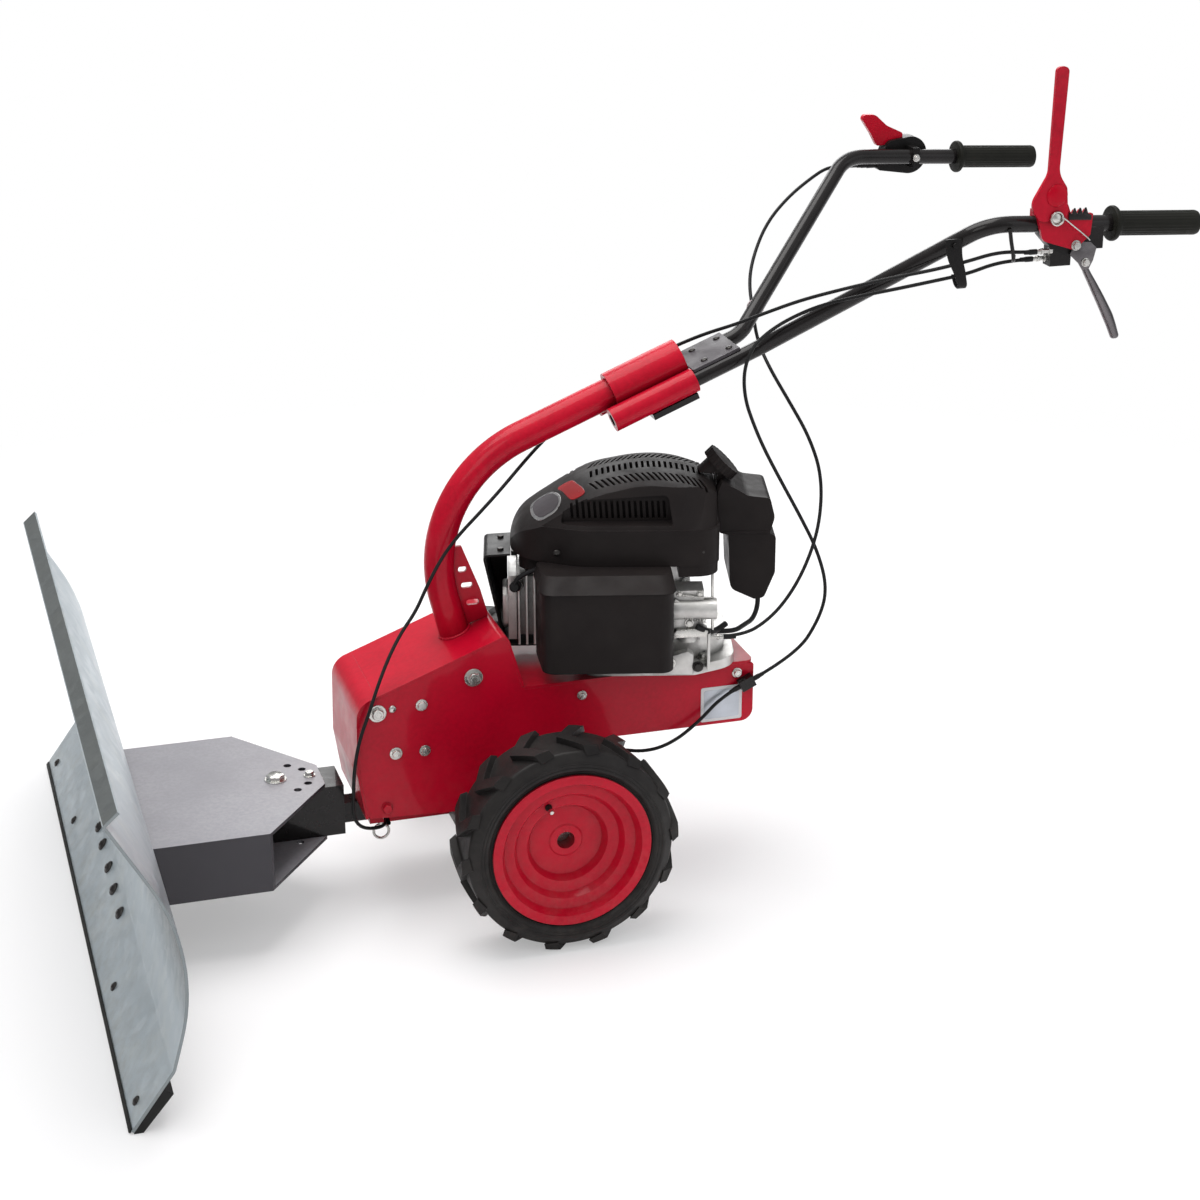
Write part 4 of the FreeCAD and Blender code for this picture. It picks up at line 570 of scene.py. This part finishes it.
def lathe(bm, matrix, profile, segments=32):
    """A surface of revolution about matrix's Z axis, from (radius, height)."""
    rings = []
    for radius, height in profile:
        count = segments if radius > 0 else 1
        rings.append([bm.verts.new(matrix @ polar(radius, 2 * math.pi * i / segments, height))
                      for i in range(count)])
    for low, high in zip(rings, rings[1:]):
        for i in range(segments):
            j = (i + 1) % segments
            corners = [low[0]] if len(low) == 1 else [low[i], low[j]]
            corners += [high[0]] if len(high) == 1 else [high[j], high[i]]
            if len(corners) > 2:
                bm.faces.new(corners)


def hexagon(bm, matrix, across, low, high, chamfer=0.9):
    """A hexagon head or nut with its corners turned off, from height low to high."""
    corner, flat, sixth, steps = across / math.sqrt(3), across / 2, math.pi / 3, 24
    rows = []
    for height, limit in ((low, corner), (high - chamfer, corner), (high, flat * 0.94)):
        row = []
        for i in range(steps):
            angle = 2 * math.pi * i / steps
            wall = flat / math.cos((angle + sixth / 2) % sixth - sixth / 2)
            row.append(bm.verts.new(matrix @ polar(min(wall, limit), angle, height)))
        rows.append(row)
    bridge(bm, rows)


def bolt(bm, origin, direction, across, head, washer, skin=1.6, stub=0, spin=0.3):
    """A hexagon bolt head on its washer; with a stub, a nut with the thread standing out."""
    matrix = facing(origin, direction) @ Matrix.Rotation(spin, 4, "Z")
    top = skin + head
    if washer:
        lathe(bm, matrix, [(0, -0.3), (washer, -0.3), (washer, skin - 0.4),
                           (washer - 0.4, skin), (0, skin)], 36)
    hexagon(bm, matrix, across, skin - 0.05, top)
    if stub:
        thread, turns = across * 0.31, max(2, int(stub / THREAD_PITCH))
        profile = [(0, top - 0.5), (thread, top - 0.5)]
        for i in range(turns):
            low = top + i * stub / turns
            profile += [(thread, low + 0.1), (thread - 0.45, low + 0.6 * stub / turns)]
        profile += [(thread - 0.7, top + stub), (0, top + stub)]
    else:
        profile = [(across * 0.30, top - 0.1), (across * 0.27, top - 0.5), (0, top - 0.5)]
    lathe(bm, matrix, profile, 24)


def bolts(name, rows, slot="bare_steel", material=None, body=MACHINE):
    """One piece of several bolts, each row the values of a bolt."""
    bm = bmesh.new()
    for row in rows:
        bolt(bm, *row)
    piece(name, bm, slot, material, body)


def dome(bm, origin, direction, radius, height):
    """A low round head on a short rim."""
    rim, steps = 0.5, 6
    profile = [(radius, -0.3), (radius, rim)]
    for i in range(1, steps):
        angle = i * math.pi / 2 / steps
        profile.append((radius * math.cos(angle), rim + (height - rim) * math.sin(angle)))
    lathe(bm, facing(origin, direction), profile + [(0, height)], 28)


def extruded(bm, faces):
    """The vertices that end a shell pulled out of faces, still in place."""
    return [item for item in bmesh.ops.extrude_face_region(bm, geom=faces)["geom"]
            if isinstance(item, bmesh.types.BMVert)]


def slab(name, outline, low, high, slot=None, material=None, body=MACHINE, matrix=AXLE_SIDE,
         edge=0.5):
    """A flat plate: an outline (x, y) from height low to high, its edges rounded."""
    bm = bmesh.new()
    base = bm.faces.new([bm.verts.new((x / 1000, y / 1000, low / 1000)) for x, y in outline])
    for vert in extruded(bm, [base]):
        vert.co.z = high / 1000
    bmesh.ops.recalc_face_normals(bm, faces=bm.faces)
    bmesh.ops.bevel(bm, geom=[e for e in bm.edges if e.calc_face_angle(0) > 0.5],
                    offset=edge / 1000, segments=2, profile=0.6, affect="EDGES",
                    clamp_overlap=True)
    return piece(name, bm, slot, material, body, angle=45, matrix=matrix)


def rectangle(left, low, right, high):
    return [(left, low), (right, low), (right, high), (left, high)]


def smooth_line(points, steps=6):
    """Points along a Catmull-Rom curve through the given ones."""
    ends = [points[0] * 2 - points[1], *points, points[-1] * 2 - points[-2]]
    line = []
    for a, b, c, d in zip(ends, ends[1:], ends[2:], ends[3:]):
        for i in range(steps):
            t = i / steps
            line.append(0.5 * (2 * b + (c - a) * t + (2 * a - 5 * b + 4 * c - d) * t * t
                               + (3 * b - a - 3 * c + d) * t ** 3))
    return line + [points[-1]]


def smooth_loop(points):
    """Points along a closed Catmull-Rom curve through (x, y) places."""
    steps = 4
    places = [Vector((x, y, 0)) for x, y in points]
    line = smooth_line([places[-1], *places, places[0], places[1]], steps)
    return line[steps:steps * (len(places) + 1)]


def blended(values, share):
    """A value along a list, share running from 0 to 1."""
    spot = share * (len(values) - 1)
    low = min(int(spot), len(values) - 2)
    return values[low] + (values[low + 1] - values[low]) * (spot - low)


def flat_bar(bm, line, widths, skins, across=LEFT):
    """Flat stock bent along a line, its widths and thicknesses changing along it."""
    rows = []
    for i, point in enumerate(line):
        along = (line[min(i + 1, len(line) - 1)] - line[max(i - 1, 0)]).normalized()
        normal = along.cross(across).normalized()
        share = i / (len(line) - 1)
        half, skin = blended(widths, share) / 2000, blended(skins, share)
        thick, soft = skin / 2000, skin / 2600
        rows.append([bm.verts.new(point + across * u + normal * v) for u, v in (
            (half - soft, thick), (half, thick - soft), (half, soft - thick),
            (half - soft, -thick), (soft - half, -thick), (-half, soft - thick),
            (-half, thick - soft), (soft - half, thick))])
    bridge(bm, rows)


def coil(start, end, radius, turns, per_turn=10):
    """Points of a helix from start to end."""
    axis = end - start
    matrix, steps = facing(start, axis), int(turns * per_turn)
    return [matrix @ polar(radius, 2 * math.pi * i / per_turn, 1000 * axis.length * i / steps)
            for i in range(steps + 1)]


def surface_of(node):
    """A search tree over a CAD node's faces, in the row's frame."""
    source = frame["nodes"][node]
    return BVHTree.FromPolygons([source.matrix_world @ v.co for v in source.data.vertices],
                                [p.vertices[:] for p in source.data.polygons])


# ---------------------------------------------------------------- control cables

CABLE_RADIUS = 2.5
THROTTLE_OUTLET = bar_height(THROTTLE_X) - 14


def route(*places):
    """A cable's points in metres, from places in millimetres from the axle."""
    return [at(*place) for place in places]


ROUTES = {
    "drive_cable": route(
        (-664, 240, 912), (-632, 240, 912), (-596, 233, 908), (-560, 224, 894),
        (-526, 213, 886), (-484, 190, 873), (-440, 152, 856), (-400, 112, 837), (-370, 74, 811),
        (-344, 60, 790), (-321, 61, 770), (-309, 63, 738), (-312, 63, 698), (-326, 63, 660),
        (-342, 63, 624), (-367, 66, 576), (-393, 72, 527), (-420, 80, 472), (-434, 88, 416),
        (-422, 92, 372), (-387.3, 95, 322.0), (-321.97, 95, 291.65)),
    "clutch_cable": route(
        (-302.03, 95, 282.35), (-274, 95, 269.3), (-240, 99, 238), (-198, 106, 213),
        (-160, 98, 200), (-125, 62, 194), (-80, 62, 194)),
    "coupling_cable": route(
        (-664, 251, 924), (-632, 251, 924), (-594, 245, 926), (-552, 229, 911),
        (-515, 211, 899), (-476, 192, 889), (-448, 170, 878), (-420, 146, 866), (-378, 94, 841),
        (-342, 44, 812), (-314, 8, 790), (-285, -22, 773), (-256, -50, 753), (-218, -68, 731),
        (-170, -68, 706), (-118, -63, 680), (-76, -43, 652), (-37, -20, 630), (-3, 12, 614),
        (30, 30, 589), (61, 37, 562), (94, 37, 530), (118, 37, 499), (139, 39, 462),
        (156, 44, 430), (180, 56, 406), (202, 72, 378), (221, 89, 347), (237, 99, 311),
        (252, 99, 272), (260, 98, 231), (263, 98, 190), (263, 92, 150), (244, 78, 126),
        (206, 62, 120), (206, 20, 120)),
    "throttle_cable": route(
        (-622, -268, THROTTLE_OUTLET), (-590, -268, THROTTLE_OUTLET), (-556, -260, 946),
        (-524, -246, 934), (-483, -230, 912), (-446, -217, 880), (-419, -196, 842),
        (-394, -152, 811), (-380, -96, 780), (-368, -42, 750), (-370, 4, 722), (-390, 30, 680),
        (-414, 50, 632), (-427, 70, 580), (-418, 92, 520), (-396, 108, 470), (-366, 122, 428),
        (-330, 132, 396)) + [on_engine(-154, 95, 57), on_engine(-110, 95, 57)],
}


def build_cables():
    """The control cables, each with its length in metres."""
    for node, length in (("drive_cable", 0.994), ("clutch_cable", 0.259),
                         ("coupling_cable", 1.554), ("throttle_cable", 0.972)):
        points = ROUTES[node]
        made = wire(node + "_line", points, CABLE_RADIUS, "cable_rubber", steps=12)
        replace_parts(made, node)


def build_cable_ends():
    """Adjusters and ferrules where the cables leave or enter a lever, bracket or arm."""
    drive, clutch, coupling, throttle = ROUTES.values()
    adjuster = [(0, -3), (4.8, -3), (4.8, 1), (3.3, 1.2), (3.3, 9), (4.2, 9.2), (4.2, 12.6),
                (3.3, 12.8), (3.3, 19), (2.7, 20)]
    ferrule = [(2.6, -1), (3.7, -1), (3.7, 9), (3.2, 10), (3.0, 16), (2.6, 16.6)]
    past_adjuster = 0.0195
    bare, dark = bmesh.new(), bmesh.new()
    for start, way in ((drive[0], (1, 0, 0)), (coupling[0], (1, 0, 0)),
                       (clutch[-1], (-1, 0, 0)), (coupling[-1], (0, 1, 0)),
                       (throttle[-1], engine_way(-1, 0, 0))):
        lathe(bare, facing(start, way), adjuster, 24)
        lathe(dark, facing(start + Vector(way) * past_adjuster, way), ferrule, 24)
    for start, way in ((drive[-1], (-65.3, 0, 30.4)), (clutch[0], (28, 0, -13)),
                       (throttle[0], (1, 0, 0))):
        lathe(dark, facing(start, way), ferrule, 24)
    bolt(bare, at(-300, 87, 301), LEFT, 10, 4.5, 7.5, 1.2)
    piece("cable_adjusters", bare, "bare_steel")
    piece("cable_ferrules", dark, "cable_rubber")


# ---------------------------------------------------------------- the machine's small parts

def build_frame_bolts():
    """Bolts through the side plates, and the column's bolt with its nut on the far side."""
    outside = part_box("side_plate_left")[1].y * 1000
    for side, name in SIDES:
        out = LEFT * side
        bm = bmesh.new()
        for x, z, across, washer in ((223, 304, 15, 12.5), (161, 309, 11, 8.5),
                                     (199, 241, 11, 9), (158, 240, 10, 8), (-69, 295, 9, 7)):
            bolt(bm, at(x, side * outside, z), out, across, across * 0.42, washer, 1.4, spin=x)
        stub = 0 if side > 0 else 6
        bolt(bm, at(87, side * outside, 341), out, 16, 7, 13, 2, stub)
        dome(bm, at(202, side * outside, 308), out, 5.4, 3)
        piece("frame_bolts_" + name, bm, "bare_steel")
        bolts("lower_bolt_" + name, [(at(214, side * outside, 160), out, 12, 5, 8, 1.4)],
              "red_paint")


def build_label():
    """Blank rating plate on the left flange: a pale border round a bare silver field."""
    outside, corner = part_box("side_plate_left")[1].y, 0.003
    low, high = at(-308, 0, 230), at(-246, 0, 283)
    for name, inset, rise, material in (("label_border", 0, 0.0005, LABEL_WHITE),
                                        ("label_field", 0.0045, 0.0007, LABEL_SILVER)):
        back, front = low.x + inset + corner, high.x - inset - corner
        foot, head = low.z + inset + corner, high.z - inset - corner
        outline = []
        for quarter, (x, z) in enumerate(((front, head), (back, head), (back, foot),
                                          (front, foot))):
            for step in range(5):
                angle = math.radians(quarter * 90 + step * 22.5)
                outline.append((x + corner * math.cos(angle), z + corner * math.sin(angle)))
        bm = bmesh.new()
        bridge(bm, [[bm.verts.new((x, y, z)) for x, z in outline]
                    for y in (outside - 0.0003, outside + rise)])
        piece(name, bm, material=material)


def build_grips():
    """Moulded grips: a flange ring, a fluted sleeve and a rounded end."""
    flange = [(11.2, 0.4), (20, 0.2), (22.6, 0.8), (23.5, 2.4), (23.5, 5.4), (22.6, 7.2),
              (19, 8.4), (17.4, 10.5)]
    sleeve = [(16.2, height) for height in range(13, 121, 4)]
    end = [(16.6, 122), (16.6, 126), (15.6, 129), (12.5, 130.6), (0, 131)]
    flutes, flute_depth = 24, 0.02
    for side, name in SIDES:
        matrix = facing(at(GRIP_X, BAR_SIDE * side, bar_height(GRIP_X)), BAR_WAY)
        bm = bmesh.new()
        lathe(bm, matrix, flange + sleeve + end, 96)
        inverse = matrix.inverted()
        for vert in bm.verts:
            spot = inverse @ vert.co
            if 0.0125 <= spot.z <= 0.1215:
                swell = 1 + flute_depth * math.cos(flutes * math.atan2(spot.y, spot.x))
                vert.co = matrix @ Vector((spot.x * swell, spot.y * swell, spot.z))
        node = "grip_" + name
        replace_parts(piece(node + "_sleeve", bm, "grip_rubber"), node)


def build_straps():
    """A flat hanger and a hook that carry the cables, and the tie on the right handlebar."""
    line = smooth_line([at(-534, 233, 944), at(-537, 233.5, 920), at(-545, 233.5, 898),
                        at(-550, 232, 882), at(-551, 226, 877), at(-550, 219, 881),
                        at(-547, 217, 893)], 5)
    bm = bmesh.new()
    flat_bar(bm, line, [24, 21, 15, 13, 13, 13], [3, 3], Vector((1, 0, 0)))
    bolt(bm, at(-535, 234.4, 936), LEFT, 7, 3, 0)
    piece("cable_hanger", bm, "control_plastic")
    wire("cable_hook", [at(-603, 255.5, 958), at(-605, 256.5, 942), at(-609, 256.5, 926),
                        at(-612, 253, 915), at(-615, 246, 913), at(-618, 241, 919)],
         2.6, "black_paint")

    bar = Vector((-237, -206, 200)).normalized()
    middle, held = at(-377, -70, 794), at(-381, -100, 783)
    out = (held - middle) - bar * (held - middle).dot(bar)
    reach = out.length
    out.normalize()
    side = bar.cross(out)
    round_bar, round_cable = 0.0125, 0.009
    waist = middle + out * reach * 0.6
    wire("cable_tie", [middle - out * round_bar, middle + side * round_bar,
                       waist + side * round_cable, middle + out * (reach + 0.004),
                       waist - side * round_cable, middle - side * round_bar],
         1.3, material=NYLON, closed=True)


def build_lever_details():
    """Teeth, pivots and return spring of the drive lever, and the curved brake lever."""
    teeth = [(-684, 966), (-684, 976)]
    for x in (-692, -700, -708):
        teeth += [(x + 3.6, 973.5), (x + 0.8, 981), (x - 0.8, 981), (x - 3.6, 973.5)]
    slab("lever_teeth", teeth + [(-717, 970), (-717, 964)], -261.6, -259.6, "black_paint",
         edge=0.25)
    slab("lever_shroud", [(-648, 951), (-650, 944), (-664, 929), (-680, 917), (-694, 915),
                          (-703, 922), (-704, 936), (-690, 948), (-668, 953)],
         -255.5, -233, "control_plastic", edge=2.5)
    slab("brake_pivot_plate", [(-690, 919), (-699, 936), (-720, 934), (-729, 926), (-725, 909),
                               (-719, 897), (-710, 897), (-704, 906)],
         -259.4, -256.2, material=DARK_CHROME, edge=0.6)
    bm = bmesh.new()
    bolt(bm, at(-698, 260, 931), LEFT, 10, 4, 7, 1.2)
    bolt(bm, at(-714, 259.2, 907), LEFT, 9, 4, 6, 1.0)
    dome(bm, at(-664, 265, 970), LEFT, 7.5, 3.2)
    piece("lever_pivots", bm, "bare_steel")
    bm = bmesh.new()
    dome(bm, at(-663, 265, 1000), LEFT, 15, 3.6)
    piece("lever_boss", bm, "red_plastic", angle=60)
    turns = coil(at(-664, 265.5, 970), at(-664, 269.5, 970), 9, 2.5, 12)
    wire("lever_spring", [*turns, at(-668, 266.5, 975), at(-692, 267.5, 956),
                          at(-714, 265, 940), at(-717, 261, 937)], 1.0, "bare_steel", order=4)
    line = smooth_line([at(x, 250, z) for x, z in (
        (-706, 924), (-713, 908), (-721, 892), (-733, 872), (-747, 848), (-760, 824),
        (-771, 798))])
    bm = bmesh.new()
    flat_bar(bm, line, [12, 13, 15, 17, 18, 16], [10, 8, 10, 13, 15, 12])
    made = piece("brake_lever_shape", bm, "grey_plate", DARK_CHROME, angle=50)
    rounding = made.modifiers.new("rounded", "SUBSURF")
    rounding.levels, rounding.render_levels = 1, 2
    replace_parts(made, "brake_lever")


def build_throttle_details():
    """The screws of the throttle housing and its clamp."""
    bolts("throttle_screws", [(at(-685, -229, 957.5), LEFT, 8, 3.4, 5.6, 1),
                              (at(-684, -280.5, 957), -LEFT, 7, 3, 0)])


def build_wheel_details():
    """Ribs on the tyres' side walls and the valves in the rims."""
    wall, shoulder, wall_slope = 42.9, 119.4, 0.9
    for side, name in SIDES:
        body = frame["nodes"]["rim_" + name]["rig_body"]
        wheel = facing(JOINTS[name + "_wheel_spin"], LEFT * side)
        bm = bmesh.new()
        for radius in (114.5, 122.5, 127):
            face = wall - max(0, shoulder - radius) * wall_slope
            lathe(bm, wheel, [(radius - 0.9, face - 0.5), (radius - 0.5, face + 0.7),
                              (radius + 0.5, face + 0.7), (radius + 0.9, face - 0.5)], 120)
        piece("tyre_ribs_" + name, bm, "tyre_rubber", body=body)
        valve = facing(at(27, 252.3 * side, 210), Vector((-0.1, side, -0.2)))
        for part, slot, profile in (
                ("valve_stem_", "tyre_rubber", [(5.0, -1), (4.8, 1.5), (3.6, 3), (3.3, 6.5),
                                                (0, 6.5)]),
                ("valve_cap_", "bare_steel", [(0, 6.2), (2.8, 6.2), (3.3, 6.8), (3.3, 12),
                                              (2.6, 13), (0, 13.3)])):
            bm = bmesh.new()
            lathe(bm, valve, profile, 24)
            piece(part + name, bm, slot, body=body)


def build_column_details():
    """Weld bead at the column's foot, and the bolts of the handlebar clamp."""
    lean, foot, points = math.radians(13.9), at(91.7, 0, 378), 44
    axis = Vector((math.sin(lean), 0, math.cos(lean)))
    outward = Vector((math.cos(lean), 0, -math.sin(lean)))
    ring = []
    for step in range(points):
        angle = 2 * math.pi * step / points
        reach = 0.0212 if step % 2 else 0.0222
        ring.append(foot + (outward * math.cos(angle) + LEFT * math.sin(angle)) * reach
                    - axis * 0.0025 * math.cos(angle))
    wire("foot_weld", ring, 2.4, "red_paint", closed=True)
    slope, knee_x, knee_z = math.radians(22), -128.1, 677.2
    upward = Vector((math.sin(slope), 0, math.cos(slope)))
    bm = bmesh.new()
    for x in (-270, -306):
        z = knee_z + (knee_x - x) * math.tan(slope)
        for side in (1, -1):
            dome(bm, at(x, 26 * side, z) + upward * 0.015, upward, 5, 2.6)
    piece("clamp_bolts", bm, "bare_steel", DARK_STEEL)


# ---------------------------------------------------------------- the blade's small parts

def build_blade_details():
    """Bolts along the fold, and the bar with its nuts that clamps the rubber strip."""
    lip_x, lip_z, fold_x, fold_z = 633, 4, 579, 78
    run, rise = lip_x - fold_x, fold_z - lip_z
    normal = Vector((rise, 0, run)).normalized()
    up_slope = Vector((-run, 0, rise)).normalized()
    lip = at(lip_x, 0, lip_z)
    nuts = (-509, -281, 236, 509)
    bm = bmesh.new()
    for y, reach, size in (*zip(nuts, (20, 27, 28, 20), (9,) * 4), (-167, 75, 13),
                           (-112, 73, 13), (-37, 73, 13), (30, 72, 13), (102, 72, 13)):
        spot = lip + up_slope * reach / 1000 + LEFT * y / 1000
        dome(bm, spot, normal, size * 0.72, size * 0.34)
        hexagon(bm, facing(spot, normal), size * 0.52, size * 0.3, size * 0.40, 0.2)
    for y in nuts:
        spot = lip + up_slope * 0.046 + LEFT * y / 1000 - normal * 0.0218
        bolt(bm, spot, -normal, 12, 6, 9, 1.4, stub=5, spin=y)
    piece("blade_bolts", bm, "bare_steel", DARK_STEEL, BLADE)
    on_fold = Matrix.Translation(lip) @ Matrix((LEFT, up_slope, normal)).transposed().to_4x4()
    slab("strip_clamp", rectangle(-538, 31, 538, 61), -22, -17.8, "black_paint", body=BLADE,
         matrix=on_fold, edge=0.8)
    slab("strip_lip", rectangle(-548, -3.6, 548, 2.4), -1.2, 1.6, "strip_rubber", body=BLADE,
         matrix=on_fold, edge=0.6)


def build_arm_pins():
    """The swivel bolt with its nut, and the index pin in the middle hole of the ring."""
    bottom, top = (corner.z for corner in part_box("arm"))
    above, below = (Vector((SWIVEL.x, 0, height)) for height in (top, bottom))
    index_hole = above - Vector((0.048, 0, 0))
    bolts("index_pin", [(index_hole, UP, 11, 5, 8.5, 1.6)], body=BLADE)
    bm = bmesh.new()
    shank, length = 9.9, (top - bottom) * 1000 + 3
    lathe(bm, facing(above, -UP), [(0, 0), (shank, 0), (shank, length)], 40)
    bolt(bm, above, UP, 22, 6.5, 15.5, 2)
    bolt(bm, below, -UP, 22, 9, 15.5, 2, stub=3)
    body = frame["nodes"]["pivot_bolt"]["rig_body"]
    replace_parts(piece("pivot_bolt_shape", bm, "bare_steel", body=body), "pivot_bolt")


# ---------------------------------------------------------------- the engine's small parts

def draped(name, outline, tree, rise, material):
    """A thin plate laid over a surface, its outline in the engine's plan."""
    above, patch, sunk = 400, 4, 0.8
    bm = bmesh.new()
    base = bm.faces.new([bm.verts.new(point) for point in outline])
    bmesh.ops.triangulate(bm, faces=[base])
    for _ in range(5):
        long = [e for e in bm.edges if e.calc_length() > patch]
        if long:
            bmesh.ops.subdivide_edges(bm, edges=long, cuts=1)
            bmesh.ops.triangulate(bm, faces=bm.faces)
    for vert in bm.verts:
        spot = tree.ray_cast(on_engine(vert.co.x, vert.co.y, above), -UP)[0]
        vert.co = spot + UP * rise / 1000
    for vert in extruded(bm, bm.faces[:]):
        vert.co -= UP * (rise + sunk) / 1000
    piece(name, bm, material=material, angle=50)


def build_tank_seam():
    """A raised seam round the fuel tank."""
    tree, radius, steps = surface_of("fuel_tank"), 1.8, 64
    low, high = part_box("fuel_tank")
    middle = Vector(((low.x + high.x) / 2, (low.y + high.y) / 2, on_engine(0, 0, 190).z))
    points = []
    for step in range(steps):
        way = polar(1000, 2 * math.pi * step / steps)
        hit = tree.ray_cast(middle + way * 0.4, -way)[0]
        if hit:
            points.append(hit)
    wire("tank_seam", points, radius, "engine_plastic", closed=True)


def build_cowl_details():
    """Screws round the cowl's skirt, the blank badge on its crown and the tank's seam."""
    bm = bmesh.new()
    for x, y in ((104, 99), (-96, 100), (104, -99), (-96, -100)):
        dome(bm, on_engine(x, y * 1.015, 186), engine_way(0, y, 0), 5, 2.4)
    piece("cowl_screws", bm, "bare_steel", DARK_STEEL)
    crown = surface_of("cowl")
    draped("badge_red", smooth_loop([(100, -12), (82, -9), (74, 17), (64, 57), (80, 61),
                                     (88, 42), (94, 15)]), crown, 0.9, BADGE_RED)
    oval = smooth_loop([(138, -10), (124, -20), (109, -10), (99, 18), (97, 44), (103, 62),
                        (115, 65), (128, 60), (138, 29)])
    middle = sum(oval, Vector()) / len(oval)
    draped("badge_rim", oval, crown, 0.8, BADGE_SILVER)
    draped("badge_face", [middle + (point - middle) * 0.84 for point in oval], crown, 1.3,
           MATERIALS["grey_plate"])
    build_tank_seam()


def build_carburettor_details():
    """Links, spring, screws and float bowl nut, and the cast foot beside them."""
    engine_side, outward = ENGINE @ ON_SIDE, engine_way(0, 1, 0)
    slab("engine_foot", [(-86, 2), (-32, 2), (-29, 10), (-34, 24), (-78, 37), (-87, 32)],
         -100, -84, "cast_aluminium", matrix=engine_side, edge=2)
    wire("governor_rod", [on_engine(*p) for p in (
        (-111, 82, 160), (-112, 90, 156), (-112, 93, 130), (-113, 93, 96), (-113, 92, 62))],
        2.0, "bare_steel")
    wire("governor_link", [on_engine(*p) for p in (
        (-66, 102, 122), (-70, 104, 123), (-90, 104, 120), (-112, 96, 116))],
        1.1, "bare_steel")
    wire("governor_spring", coil(on_engine(-72, 105, 92), on_engine(-104, 101, 84), 3.4, 9),
         0.7, "bare_steel", order=4)
    slab("choke_lever", [(-92, 108), (-86, 113), (-70, 111), (-60, 118), (-57, 113), (-68, 103),
                         (-86, 102)], -103.4, -101.6, "bare_steel", matrix=engine_side)
    slab("control_plate", [(-104, 62), (-58, 60), (-56, 66), (-62, 72), (-98, 74), (-106, 70)],
         -107, -84, "bare_steel", matrix=engine_side, edge=0.8)
    screws = [(on_engine(x, 100, z), outward, across, 3, across * 0.75, 1) for x, z, across in (
        (-64, 92, 7), (-94, 92, 7), (-94, 124, 6), (-66, 124, 6), (-80, 80, 9))]
    bolts("carburettor_screws", [*screws, (on_engine(-80, 82, 50), -UP, 9, 5, 7, 1),
                                 (on_engine(-54, 100, 20), outward, 10, 4.5, 8, 1.4)])
    wire("fuel_hose_end", [on_engine(*p) for p in (
        (-134, 68, 66), (-122, 78, 61), (-110, 94, 64), (-100, 105, 71), (-90, 106, 77))],
        4.2, "cable_rubber")
    bolts("drain_plug", [(on_engine(-93, 99, 14), outward, 11, 5, 8, 1.4)], material=DARK_STEEL)


def build_engine_bolts():
    """Bolts of the foot and the guard, the head's cover, and the spark plug with its lead."""
    bolts("foot_bolts", [(on_engine(x, y, 14), UP, 12, 5, 10, 1.6)
                         for x, y in ((52, 84), (52, -84), (-104, 66), (-104, -66))])
    bolts("guard_bolts", [(on_engine(182, y, 164), UP, 8, 3.4, 6, 1) for y in (-26, 26)],
          material=DARK_STEEL)
    slab("head_cover", [(-6, 52), (34, 50), (42, 60), (43, 104), (34, 114), (-2, 112),
                        (-12, 100), (-12, 62)], 171, 180, "cast_aluminium",
         matrix=ENGINE @ ON_END, edge=3)
    base, lean = on_engine(158, 40, 118), engine_way(0.15, 1, 0.25)
    bm = bmesh.new()
    hexagon(bm, facing(base, lean), 16, 0, 9)
    lathe(bm, facing(base, lean), [(6, 8.5), (5, 10), (4.6, 18), (0, 18)], 24)
    piece("spark_plug", bm, "bare_steel")
    bm = bmesh.new()
    lathe(bm, facing(base, lean), [(6.4, 13), (7.6, 14), (7.8, 20), (7.0, 22), (7.4, 26),
                                   (7.4, 34), (6, 37), (0, 38)], 28)
    piece("plug_cap", bm, "cable_rubber")
    tip = base + lean * 0.034
    wire("plug_lead", [tip, tip + UP * 0.012, on_engine(140, 74, 150), on_engine(118, 78, 160),
                       on_engine(104, 70, 170)], 3.2, "cable_rubber")


# ---------------------------------------------------------------- build

build_camera()
build_world()
build_lamps()
build_floor()
dress_nodes()
build_cables()
build_frame_bolts()
build_label()
build_grips()
build_straps()
build_blade_details()
build_arm_pins()
build_cable_ends()
build_lever_details()
build_throttle_details()
build_wheel_details()
build_cowl_details()
build_carburettor_details()
build_engine_bolts()
build_column_details()
